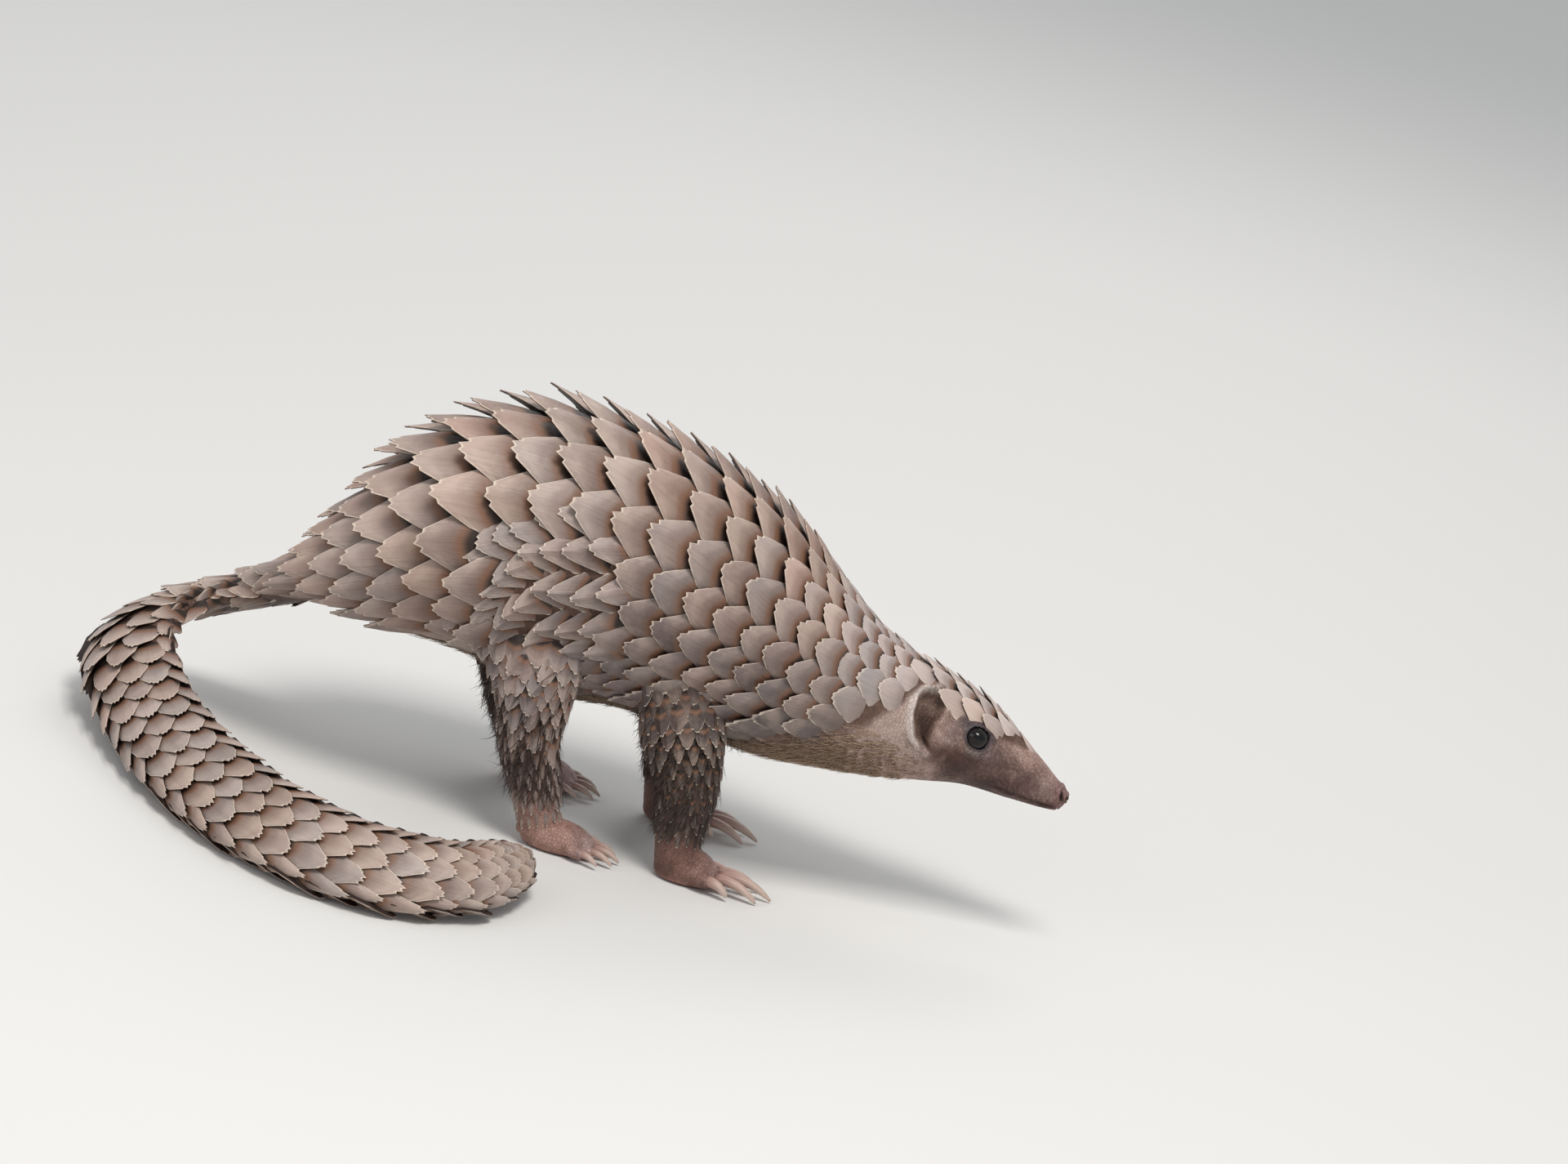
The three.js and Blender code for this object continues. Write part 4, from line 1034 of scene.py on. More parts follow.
def add_uv(piece, name, values):
    """Stores a place on a flat map for each vertex of a piece, the same in all its faces."""
    layer = piece.data.uv_layers.new(name=name)
    vertices = read(piece.data.loops, "vertex_index", 1).ravel()
    layer.data.foreach_set("uv", values.reshape(-1, 2)[vertices].astype(np.float32).ravel())


SHARP_ANGLE = np.radians(38)                     # edges that turn more than this look sharp
OPEN_ROOT = 0.53                                 # share of the root's colours and painted shade that is left out


def scale_piece(name, scales, material, teeth=TEETH):
    """One piece from many scales, with the plate's own UV, the bake's UV and each scale's colour.
    Where nothing covers a scale's root, its UV leaves out the root's painted shade and dark colours."""
    places, faces, uv = scale_mesh(scales, teeth)
    n, per = places.shape[:2]
    loops = np.concatenate(faces)[None] + (np.arange(n) * per)[:, None]
    starts = running_sum(np.tile([len(face) for face in faces], n))[:-1]
    mesh = bpy.data.meshes.new(name)
    mesh.vertices.add(n * per)
    mesh.vertices.foreach_set("co", (places * MM).astype(np.float32).ravel())
    mesh.loops.add(loops.size)
    mesh.loops.foreach_set("vertex_index", loops.astype(np.int32).ravel())
    mesh.polygons.add(len(starts))
    mesh.polygons.foreach_set("loop_start", starts.astype(np.int32))
    mesh.update(calc_edges=True)
    piece = bpy.data.objects.new(name, mesh)
    bpy.context.scene.collection.objects.link(piece)
    plate = np.array(np.broadcast_to(uv, (n, per, 2)))
    plate[..., 1] = 1 - (1 - plate[..., 1]) * (1 - OPEN_ROOT * scales["open_root"][:, None])
    patch = (uv[:, ::-1] - 0.5)[None] * scales["patch"][:, None]
    add_uv(piece, "OFBake", scales["bake"][:, None] + patch)
    add_uv(piece, "Plate", plate)
    store(piece, "horn_colour", "FLOAT_COLOR", np.repeat(scales["colour"], per, axis=0))
    mesh.shade_smooth()
    mesh.set_sharp_from_angle(angle=SHARP_ANGLE)
    mesh.materials.append(material)
    face_outwards(piece)
    return piece


# orange brown of the root, near black painted shadow where a scale lies under the one ahead, pale
# edge
ROOT_HORN, GAP_SHADOW_HORN, EDGE_HORN = paint(116, 80, 58), paint(44, 31, 25), paint(214, 198, 180)
GROWTH_LINES = 34.0                              # how close the lines across a scale are


def horn_finish():
    """Worn horn: the scale's own colour, painted shade towards the root, orange brown near the root
    and a near black painted shadow under the scale ahead, a thin pale edge, streaks and fine ridges
    that run from root to tip, and growth lines that cross them."""
    horn = Nodes("body_horn")
    plate = horn.add("UVMap", settings={"uv_map": "Plate"})
    across, along = horn.add("SeparateXYZ", plate).node.outputs[:2]
    place = horn.place()
    own = horn.own("horn_colour")
    patches = horn.noise(place, 70.0, 4.0, Roughness=0.6)
    fine = horn.noise(place, 420.0, 3.0, Roughness=0.6)
    stretched = horn.add("Mapping", Vector=plate, Scale=(26.0, 1.6, 1.0))
    moved = horn.add("VectorMath", own, settings={"operation": "SCALE"}, Scale=90.0)
    shifted = horn.add("VectorMath", stretched, moved, settings={"operation": "ADD"})
    streaks = horn.noise(shifted, 1.0, 3.0, Roughness=0.55)
    worn = horn.between(patches, 0.35, 0.7)
    colour = horn.mix(worn, own, horn.mix(0.35, own, paint(196, 176, 160)))
    darker = horn.mix(1.0, colour, (0.66, 0.62, 0.60), "MULTIPLY")
    colour = horn.mix(horn.between(streaks, 0.42, 0.75, 0.0, 0.38), colour, darker)
    # painted shade towards the root, then the root's orange brown and the painted shadow under the
    # scale ahead
    shaded = horn.mix(1.0, colour, (0.60, 0.55, 0.53), "MULTIPLY")
    colour = horn.mix(horn.between(along, 0.88, 0.54), colour, shaded)
    colour = horn.mix(horn.between(along, 0.60, 0.46, 0.0, 0.8), colour, ROOT_HORN)
    colour = horn.mix(horn.between(along, 0.48, 0.34), colour, GAP_SHADOW_HORN)
    off_middle = horn.math("ABSOLUTE", horn.math("SUBTRACT", across, 0.5))
    at_end = horn.between(along, 0.955, 0.995)
    at_side = horn.math("MULTIPLY", horn.between(off_middle, 0.44, 0.495),
                        horn.between(along, 0.4, 0.7))
    rim = horn.math("MAXIMUM", at_end, at_side)
    rim = horn.math("MULTIPLY", rim, horn.between(fine, 0.3, 0.6, 0.35, 0.85))
    colour = horn.mix(rim, colour, EDGE_HORN)
    roughness = horn.between(fine, 0.2, 0.8, 0.42, 0.62)
    down = horn.math("MULTIPLY", along, GROWTH_LINES)
    lines = horn.math("SINE", horn.math("ADD", down, horn.math("MULTIPLY", patches, 5.0)))
    relief = horn.bump(streaks, 0.00035, 0.7)
    relief = horn.bump(lines, 0.00012, 0.35, relief)
    relief = horn.bump(fine, 0.0002, 0.35, relief)
    return horn.finish(colour, roughness, relief, specular=0.45)


body_horn = horn_finish()
scale_rng = np.random.default_rng(11)


SPREADS = {"long": 0.04, "half": 0.03, "lift": 0.10}
YAW = np.radians(2.5)


def with_looks(scales, **sizes):
    """Adds each scale's sizes and small seeded differences, and tips its direction a little."""
    n = len(scales["place"])
    for key, value in {"fall": 0.0, "open_root": 0.0, **sizes}.items():
        scales[key] = np.broadcast_to(np.asarray(value, float), n).copy()
    for key, spread in SPREADS.items():
        scales[key] *= 1 + spread * scale_rng.uniform(-1, 1, n)
    yaw = YAW * scale_rng.uniform(-1, 1, n)[:, None]
    way, side = scales["way"], scales["side"]
    scales["way"] = way * np.cos(yaw) + side * np.sin(yaw)
    scales["side"] = side * np.cos(yaw) - way * np.sin(yaw)
    scales["jitter"] = scale_rng.uniform(-1, 1, (n, len(PLATE_COLUMNS)))
    return scales


def shaded(shade, spread):
    """The shade of each scale, moved by up to the spread and kept between 0 and 1."""
    return np.clip(shade + spread * scale_rng.uniform(-1, 1, len(shade)), 0, 1)


def varied(colours):
    """Colours made a little paler, darker, greyer or browner, each scale by its own amount."""
    n = len(colours)
    grey = colours.mean(axis=1, keepdims=True)
    colours = colours + (grey - colours) * scale_rng.uniform(-0.2, 0.35, (n, 1))
    return colours * np.exp(0.09 * scale_rng.normal(size=(n, 1)))


def joined_scales(groups):
    """Several groups of scales as one."""
    return {key: np.concatenate([group[key] for group in groups]) for key in groups[0]}


# Lines of the trunk, as shares of half the girth from the spine, and the spacing in one line
TRUNK_LINES = np.array([0, 0.097, 0.203, 0.314, 0.425, 0.522, 0.609, 0.686, 0.754, 0.812])
ROW_SPACING = ([5.2, 6.2, 7.5, 8.8, 10.5, 12.5, 14], [8, 9, 11, 13.2, 15.6, 16, 14.5])
TRUNK_START, TRUNK_END = 5.75, 14.0
SHOULDER_END, RUMP_START = 9.95, 11.36           # between them the flank has the thigh's lines
BACK_LINES = 3                                   # lines beside the spine that run on over them


def row_places(start, end, spacing):
    """Places along the body half a spacing apart: every other one serves every other line."""
    places = [start]
    while places[-1] < end:
        t = places[-1]
        places.append(t + 0.5 * np.interp(t, *spacing) / pace_at(t))
    return np.array(places[:-1])


def staggered(ranks, side_lines):
    """Rank and line of scales in every other place of both; line 0 runs along the spine."""
    rank, line = (a.ravel() for a in crossed(ranks, np.arange(-side_lines, side_lines + 1)))
    keep = (rank + line) % 2 == 0
    return rank[keep], line[keep]


def covered_share(t):
    """The share of half the girth at t that scales cover, from the spine to the lower border."""
    angle = np.linspace(0, np.pi, 91)
    length = length_along(body(t[:, None], angle[None]))
    border = np.radians(np.interp(t, *LOWER_BORDER))
    return np.array([np.interp(a, angle, s / s[-1]) for a, s in zip(border, length)])


def lies_open(rows, rank, line, lines):
    """Whether a scale's root lies open, as the one ahead and below would be past the border."""
    line_below = np.append(lines, 2.0)[np.abs(line) + 1]
    return line_below > covered_share(rows[np.maximum(rank - 1, 0)])


def on_bake_map(scales, rank, line, side_lines):
    """Gives each scale its place and size on the bake map, ranks along it and lines across it."""
    ranks, lines = rank.max() + 1, 2 * side_lines + 1
    scales["bake"] = np.stack([(rank + 0.5) / ranks, (line + side_lines + 0.5) / lines], axis=1)
    sizes = np.broadcast_arrays(1.8 / ranks, 0.9 / lines, rank)[:2]
    scales["patch"] = np.stack(sizes, axis=1)


def trunk_scales():
    """Place and line of each scale of back, neck and flanks, and whether its root lies open."""
    rows = row_places(TRUNK_START, TRUNK_END, ROW_SPACING)
    rank, line = staggered(np.arange(len(rows)), len(TRUNK_LINES) - 1)
    t = rows[rank]
    share = np.sign(line) * TRUNK_LINES[np.abs(line)]
    low = np.abs(line) > BACK_LINES
    thigh_gap = low & (t > SHOULDER_END) & (t < RUMP_START + 0.06 * (np.abs(line) - 4))
    keep = (np.abs(share) < covered_share(t)) & ~thigh_gap
    open_root = lies_open(rows, rank, line, TRUNK_LINES)
    return t[keep], share[keep], line[keep], rank[keep], open_root[keep]


t, share, line, rank, open_root = trunk_scales()
side_lines = len(TRUNK_LINES) - 1
rise = np.abs(line) / side_lines
spacing = np.interp(t, *ROW_SPACING)
line_room = np.gradient(TRUNK_LINES)[np.abs(line)] * girth_at(t)
trunk = scales_on(on_body, t, share, girth_at(t), 0.6 * line_room)
ahead = map_lookup(t + spacing / pace_at(t), share)
stretch = np.linalg.norm(ahead - trunk["place"], axis=1) / spacing
on_neck = 1 - smooth(6.6, 8.6, t)
trunk = with_looks(
    trunk,
    long=spacing * np.clip(stretch, 0.75, 1.25) * 2.0,
    half=line_room * (0.84 + 0.15 * on_neck),
    taper=0.46,
    point=0.20 - 0.06 * rise,
    lift=0.225 - 0.03 * rise - 0.04 * on_neck - 0.04 * smooth(12.5, 14, t),
    sink=2.4 - 0.9 * on_neck,
    crown=2.5 - 1.3 * on_neck,
    keel=0.6 * smooth(0.55, 0.9, rise),
    curl=0.4,
    thick=1.0 - 0.25 * on_neck,
    open_root=open_root)
# Painted shade, partly dirt: scales darker down the flanks, darkest low on the shoulder and neck,
# and darker along the spine; each scale's tone also differs at random
low_front_shade_and_dirt = smooth(0.2, 0.55, rise) * smooth(11.6, 10.2, t)
shade = shaded(0.15 + 0.35 * smooth(0.4, 1.0, rise) + 0.5 * low_front_shade_and_dirt
               + 0.3 * smooth(0.2, 0.05, rise), 0.15)
colours = mixed(shade, paint(173, 150, 139), paint(108, 94, 93))
# Browner along the spine, for the orange brown roots seen edge on and painted light glowing through
# the thin edges
colours = mixed(0.25 * smooth(0.25, 0.05, rise), colours, paint(146, 112, 90))
# Painted reflection: the neck scales paler and greyer, except low on the front
colours = varied(mixed(0.6 * on_neck * (1 - low_front_shade_and_dirt), colours, paint(178, 169, 168)))
# Painted shade: low scales by the throat whose roots lie open made darker
open_low_shade = open_root * smooth(6.2, 7.4, t) * smooth(9.4, 8.6, t)
trunk["colour"] = colours * (1 - 0.4 * open_low_shade[:, None])
on_bake_map(trunk, rank, line, side_lines)
body_scales = scale_piece("body_scales", trunk, body_horn)
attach(body_scales, "root")


# Keeled scales of the thighs and hind legs

# From behind the elbow the flank's lines of horn scales run back, turn down over the thigh in
# nested arcs and follow the leg to the ankle. They are smaller, each with a raised keel, and get
# longer and narrower down the leg. The sides match, but for how far back each foot stands.

# Corners of a side view in squares of the given step, forward and up
RELIEF_FROM, RELIEF_TO, RELIEF_STEP = np.array([-190.0, -5.0]), np.array([150.0, 200.0]), 1.0
SOFTENINGS = 16                                  # rounds of averaging
# Each line, from the elbow back over the thigh to the ankle: places forward and up from the floor
THIGH_LINES = np.array([
    [(-2, 154), (-20, 149), (-40, 140), (-58, 126), (-66, 107), (-65, 86)],
    [(19, 147), (-6, 139), (-27, 133), (-46, 115), (-52, 92), (-46, 66)],
    [(21, 130), (0, 122), (-19, 118), (-37, 103), (-41, 82), (-36, 59)],
    [(21, 115), (2, 107), (-13, 102), (-26, 89), (-29, 74), (-26, 56)],
    [(21, 100), (4, 95), (-7, 90), (-16, 80), (-19, 68), (-17, 54)],
    [(21, 87), (7, 84), (0, 80), (-6, 73), (-9, 64), (-8, 53)],
    [(22, 78), (12, 76), (8, 73), (4, 69), (1, 62), (0, 53)],
], float)
# Sizes of the scales at each of a line's six places
LINE_SPACING = [12.5, 11.5, 9.4, 7.2, 7.4, 8.8]
LINE_HALF = [10.2, 10.2, 10.0, 8.8, 7.2, 5.8]
LINE_KEEL = [0.7, 1.1, 1.3, 1.3, 1.2, 1.1]


def side_relief(side):
    """How far the skin of one side stands out from the animal's middle plane, over forward and up:
    the farthest of many points of trunk and hind leg in each small square, gaps closed and the
    whole softened by averaging each square with its neighbours."""
    t, share = crossed(np.arange(7, 14.6, 0.012), np.linspace(0, 1, 500))
    flank = map_lookup(t, side * share)
    t, angle = crossed(np.linspace(0, 5, 500), np.linspace(0, np.pi, 300))
    leg = leg_surface(HIND_LEG, t, angle, side, LEFT_HIND_BACK)
    points = np.concatenate([flank.reshape(-1, 3), leg.reshape(-1, 3)])
    shape = ((RELIEF_TO - RELIEF_FROM) / RELIEF_STEP).astype(int)
    cell = np.round((points[:, [0, 2]] - RELIEF_FROM) / RELIEF_STEP).astype(int)
    inside = np.all((cell >= 0) & (cell < shape), axis=1)
    relief = np.full(shape, -1.0)
    np.maximum.at(relief, tuple(cell[inside].T), side * (points[inside, 1] - OUTLINE_MIDDLE[1]))
    known = (relief >= 0).astype(float)
    relief = relief * known
    for _ in range(SOFTENINGS):
        for table in (relief, known):
            table[1:-1, 1:-1] = (table[1:-1, 1:-1] + table[:-2, 1:-1] + table[2:, 1:-1]
                                 + table[1:-1, :-2] + table[1:-1, 2:]) / 5
    return relief / np.maximum(known, 1e-6)


def on_side_relief(side):
    """The surface function of one side: parameters are forward and up, in millimetres."""
    relief = side_relief(side)
    slopes = np.gradient(relief)
    last = np.array(relief.shape) - 1.01

    def surface(x, z, direction):
        cell = np.clip((np.stack([x, z], axis=1) - RELIEF_FROM) / RELIEF_STEP, 0, last).T
        height, slope_x, slope_z = (looked_up(table, *cell) for table in (relief, *slopes))
        out = unit(np.stack([-slope_x, np.full(len(x), side), -slope_z], axis=1))
        place = np.stack([x, OUTLINE_MIDDLE[1] + side * height, z], axis=1)
        flat = np.stack([direction[:, 0], np.zeros(len(x)), direction[:, 1]], axis=1)
        way = unit(flat - np.sum(flat * out, axis=1)[:, None] * out)
        return place, out, way

    return surface


def at_place(values, place):
    """Values given at the places of a line or the stations of a limb, 0, 1, 2..., between them."""
    return np.interp(place, range(len(values)), values)


def thigh_scales(side):
    """Scales along the thigh's lines: each line is a curve through its places, cut into steps of
    its own spacing, with every other line half a step ahead."""
    surface = on_side_relief(side)
    groups = []
    for number, line in enumerate(THIGH_LINES):
        last = len(line) - 1
        fine = np.linspace(0, last, 800)
        path = curve(line, fine)
        step = np.linalg.norm(np.diff(path, axis=0), axis=1) / at_place(LINE_SPACING, fine[1:])
        count = running_sum(step)
        place = np.interp(np.arange(0.5 * (number % 2), count[-1], 1.0), count, fine)
        x, z = (np.interp(place, fine, path[:, axis]) for axis in range(2))
        direction = unit(curve(line, np.minimum(place + 0.15, last))
                         - curve(line, np.maximum(place - 0.05, 0)))
        x = x - (side > 0) * LEFT_HIND_BACK * smooth(120, 60, z)
        at, out, way = surface(x, z, direction)
        half = at_place(LINE_HALF, place)
        across = np.stack([-direction[:, 1], direction[:, 0]], axis=1) * half[:, None]
        one, other = (surface(x + sign * across[:, 0], z + sign * across[:, 1], direction)[1]
                      for sign in (1, -1))
        bend = np.arccos(np.clip(np.sum(one * other, axis=1), -1, 1)) / (2 * half)
        scales = dict(place=at, out=out, way=way, side=np.cross(out, way), bend=bend,
                      down=place, number=np.full(len(place), number))
        upright = np.abs(out[:, 1]) > 0.5          # not past the edge of thigh or belly
        groups.append({key: values[upright] for key, values in scales.items()})
    return joined_scales(groups)


THIGH_BAKE = 4 * len(THIGH_LINES)                # both thighs' lines fill half of the bake map
thighs = []
for side in SIDES.values():
    scales = thigh_scales(side)
    down, number = scales.pop("down"), scales.pop("number")
    keeled = np.minimum(number, 1)
    scales = with_looks(
        scales,
        long=at_place(LINE_SPACING, down) * (2.3 - 0.04 * number),
        half=at_place(LINE_HALF, down) * (1.15 - 0.15 * keeled) * (1.04 - 0.05 * number),
        taper=0.46, point=0.24,
        lift=0.19 - 0.012 * down,
        sink=1.7, crown=1.1,
        keel=keeled * at_place(LINE_KEEL, down),
        curl=0.3, thick=0.85)
    shade = shaded(0.25 + 0.1 * number + 0.3 * smooth(2.5, 5, down), 0.15)
    scales["colour"] = varied(mixed(shade, paint(162, 144, 137), paint(124, 108, 103)))
    row = (number + 0.5 + len(THIGH_LINES) * (side > 0)) / THIGH_BAKE
    scales["bake"] = np.stack([(down + 0.5) / 6, row], axis=1)
    scales["patch"] = np.tile([0.06, 0.9 / THIGH_BAKE], (len(down), 1))
    thighs.append(scales)


# Small scales of the legs

# Below the flank each leg is ringed by small, flat, pointed scales of horn, down to the ankle or
# wrist. They are dark, half hidden in stiff hair, and leave the inner side of the leg bare.

LEG_COLUMNS = 9                                  # scales in one ring, between the two bare edges
RING_GAPS = np.linspace(7.6, 4.2, 24)            # from ring to ring, down the leg
RING_SHIFT = 1.6                                 # how far a scale may stand from its ring
# Of each leg: a place inside the flank above it, its list, how far back the left one stands, from
# where to where it has scales, the angles between its bare edges, and its pale and dark colour
LEG_SCALES = [
    ([-36, -30, 108, 15, 24, 26, 0], HIND_LEG, LEFT_HIND_BACK, (0.7, 4.9), (-15, 205),
     (144, 127, 122), (124, 107, 101)),
    ([25, -27, 104, 15, 22, 21, 0], FORE_LEG, LEFT_FORE_BACK, (0.2, 4.5), (-20, 205),
     (96, 80, 75), (38, 29, 25)),
]


def on_leg(stations, side, back):
    """The surface function of one leg: parameters are the place down it and the angle round it."""
    step = 0.02

    def surface(t, angle):
        place, below, above, next_to, before = (
            leg_surface(stations, t + down, angle + turn, side, back)
            for down, turn in ((0, 0), (step, 0), (-step, 0), (0, step), (0, -step)))
        way = unit(below - above)
        return place, unit(np.cross(next_to - before, way)) * (-side), way

    return surface


def leg_scales(stations, side, back, places, span):
    """Rings of scales down a leg between two angles, every other ring set half a scale round. The
    first ones are rooted inside the flank."""
    fine = np.linspace(0, len(stations) - 1, 501)
    length = length_along(curve(stations, fine)[:, :3])
    start, end = np.interp(places, fine, length)
    rings = start + np.cumsum(RING_GAPS) - RING_GAPS[0]
    rings = rings[rings < end]
    ring, slot = (a.ravel() for a in crossed(np.arange(len(rings)), np.arange(LEG_COLUMNS)))
    down = rings[ring] + RING_SHIFT * scale_rng.uniform(-1, 1, ring.size)
    t = np.interp(down, length, fine)
    share = (slot + 0.5 * (ring % 2) + 0.25) / LEG_COLUMNS
    angle = np.radians(span[0] + (span[1] - span[0]) * share)
    radius = curve(stations, t)[:, 3:5].mean(axis=1)
    size = radius * np.radians(span[1] - span[0]) / LEG_COLUMNS
    return t, share, size, scales_on(on_leg(stations, side, back), t, angle, radius, size)


leg_groups = []
for side in SIDES.values():
    for top, stations, back, places, span, pale, dark in LEG_SCALES:
        t, share, size, scales = leg_scales(np.vstack([top, stations]), side, back, places, span)
        at_top = smooth(2.6, 1.0, t)
        scales = with_looks(
            scales,
            long=15.0 + 3.5 * at_top - 1.5 * t,
            half=size * (0.78 + 0.2 * at_top),
            taper=0.8 - 0.3 * at_top,
            point=0.38 - 0.2 * at_top,
            lift=0.13, sink=1.2, crown=0.8, keel=0.9, curl=0.2, thick=0.6,
            open_root=smooth(3.2, 3.8, t))
        shade = shaded(0.1 + 0.2 * t, 0.25)
        scales["colour"] = varied(mixed(shade, paint(*pale), paint(*dark)))
        row = 0.5 + (len(leg_groups) + 0.05 + 0.9 * share) / 8
        scales["bake"] = np.stack([t / 6, row], axis=1)
        scales["patch"] = np.tile([0.04, 0.1 / LEG_COLUMNS], (len(t), 1))
        leg_groups.append(scales)
leg_plates = scale_piece("leg_scales", joined_scales(thighs + leg_groups), body_horn)
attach(leg_plates, "root")


# Scales of the tail

# The tail is flat and wholly covered with the same horn shields, each rooted under those ahead: a
# line along its middle, another on each side of it, a row folded over each edge whose tips stand
# out like a saw, and two more lines beneath.

TAIL_START, ROOT_END = 14.15, 16.4               # where the scales start, and the bend
# Lines as shares of half the girth, narrower before the bend
ROOT_LINES = np.array([0, 0.145, 0.29, 0.435, 0.58, 0.725, 0.87])
TAIL_LINES = np.array([0, 0.215, 0.43, 0.635, 0.86])
TAIL_SPACING = ([14, 16, 18, 22, 25, 27.5, 30], [10.5, 12, 15, 16.5, 14.5, 11.5, 7.5])

rows = row_places(TAIL_START, TAIL_TIP - 0.25, TAIL_SPACING)
parts = []
for lines, part in ((ROOT_LINES, rows < ROOT_END), (TAIL_LINES, rows >= ROOT_END)):
    side_lines = len(lines) - 1
    rank, line = staggered(np.flatnonzero(part), side_lines)
    number = np.abs(line)
    parts.append(np.stack([rank, line, np.full(len(line), side_lines),
                           np.sign(line) * lines[number], np.gradient(lines)[number]]))
rank, line, side_lines, share, room = np.concatenate(parts, axis=1)
t = rows[rank.astype(int)]
level = np.abs(line) / side_lines
line_room = room * girth_at(t)
tail = scales_on(on_body, t, share, girth_at(t), 0.5 * line_room)
ahead = map_lookup(np.minimum(t + 1.0 / pace_at(t), TAIL_TIP), share)
behind = map_lookup(t - 1.0 / pace_at(t), share)
stretch = np.linalg.norm(ahead - behind, axis=1) / 2
at_root = smooth(17.5, 16, t)
margin = (level == 0.5) * (1 - at_root)
under = (level > 0.5).astype(float)
near_tip = smooth(25.5, 29, t)
spacing = np.interp(t, *TAIL_SPACING)
overlap = 1.95 + 0.1 * margin + 0.4 * at_root
# how fast the tail's surface falls away along a scale, from the normal at the scale's end
reach = spacing * 1.9
_, out_ahead, _ = on_body(np.minimum(t + reach / pace_at(t), TAIL_TIP), share)
falling = np.arcsin(np.clip(np.sum(out_ahead * tail["way"], axis=1), -1, 1)) / reach
tail = with_looks(
    tail,
    long=spacing * np.clip(stretch, 0.6, 1.2 - 0.1 * at_root) * overlap,
    half=line_room * (0.86 + 0.18 * at_root * (level < 0.4) - 0.14 * margin),
    taper=0.34 + 0.12 * margin,
    point=0.14 + 0.2 * margin,
    lift=(0.15 + 0.03 * margin - 0.05 * under - 0.05 * at_root) * (1 - 0.45 * near_tip),
    sink=1.5 - 0.6 * near_tip,
    crown=0.7 + 0.3 * margin,
    keel=0.15, curl=0.25,
    thick=0.8 - 0.2 * near_tip,
    fall=np.clip((0.8 + 0.2 * at_root) * falling, -0.06, 0.05))
# Painted shade: the lines beneath the tail darker; each scale's tone also differs at random
shade = shaded(0.3 + 0.35 * under, 0.25)
tail["colour"] = varied(mixed(shade, paint(172, 152, 142), paint(136, 119, 112)))
on_bake_map(tail, rank, line, side_lines)
tail_scales = scale_piece("tail_scales", tail, body_horn)
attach(tail_scales, "root")


# Scales of the brow and nape

# Small pale shields of horn, narrow and flat, run from above the snout between eyes and ears to
# the nape, in eleven lines that lie close to the hide.

BROW_START, BROW_END = 2.8, 6.15
BROW_SPACING = ([2.7, 3.6, 5, 6.3], [7.2, 8.8, 10.4, 10.4])
BROW_LINES = np.array([0, 0.10, 0.205, 0.315, 0.43, 0.55])
BROW_TEETH = 0.02

rows = row_places(BROW_START, BROW_END, BROW_SPACING)
side_lines = len(BROW_LINES) - 1
rank, line = staggered(np.arange(len(rows)), side_lines)
keep = BROW_LINES[np.abs(line)] < covered_share(rows[rank])
rank, line = rank[keep], line[keep]
t, share = rows[rank], np.sign(line) * BROW_LINES[np.abs(line)]
line_room = np.gradient(BROW_LINES)[np.abs(line)] * girth_at(t)
brow = with_looks(
    scales_on(on_body, t, share, girth_at(t), 0.5 * line_room),
    long=np.interp(t, *BROW_SPACING) * 2.0,
    half=line_room * 1.04,
    taper=0.44, point=0.2, lift=0.10, sink=0.8, crown=0.4, keel=0.0, curl=0.15, thick=0.5,
    open_root=lies_open(rows, rank, line, BROW_LINES) | (rank < 2))
shade = shaded(0.25 + 0.3 * smooth(5, 6.2, t), 0.3)
brow["colour"] = varied(mixed(shade, paint(190, 171, 163), paint(160, 143, 138)))
on_bake_map(brow, rank, line, side_lines)
brow_scales = scale_piece("brow_scales", brow, body_horn, BROW_TEETH)
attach(brow_scales, "root")


# Hair of the throat, belly and legs

# Soft sparse hair grows where the scales end: brown yellow on the throat, pale on the belly,
# and dark and matted on the legs, shortest at the feet. Each tuft is a thin three-sided lock that
# is rooted in the hide and lies along the body or the leg.

HAIR_ROWS = np.array([0.0, 0.3, 0.62, 1.0])
HAIR_CORNERS = np.radians([90, 210, 330])
ROOT_DEPTH, HAIR_FLOOR = 0.5, 0.2                # how deep a lock is rooted, and its lowest height
HAIR_SPREAD, HAIR_SWAY, HAIR_CURL = 0.25, 0.16, 0.55
LOCK_WIDE, LOCK_HIGH = 1.3, 0.6                  # a lock's section, as shares of its thickness
HAIR_PATCH = 0.003                               # size of a tuft on the bake map
NO_HAIR = 1e-9                                   # added to a density so that it is nowhere zero
hair_rng = np.random.default_rng(5)


def hair_finish(name):
    """Matt hair: the tuft's own colour, darker and paler along and between the tufts."""
    hair = Nodes(name)
    place = hair.place()
    own = hair.own("hair_colour")
    strands = hair.noise(place, 1400.0, 2.0)
    darker = hair.mix(1.0, own, (0.5, 0.46, 0.42), "MULTIPLY")
    return hair.finish(hair.mix(hair.between(strands, 0.35, 0.6), darker, own),
                       hair.between(strands, 0.2, 0.8, 0.5, 0.75), hair.bump(strands, 0.0001, 0.5))


def per_tuft(values):
    """Numbers or vectors of each tuft, shaped to meet a table of rows, corners and axes."""
    return np.asarray(values).reshape(len(values), 1, 1, -1)


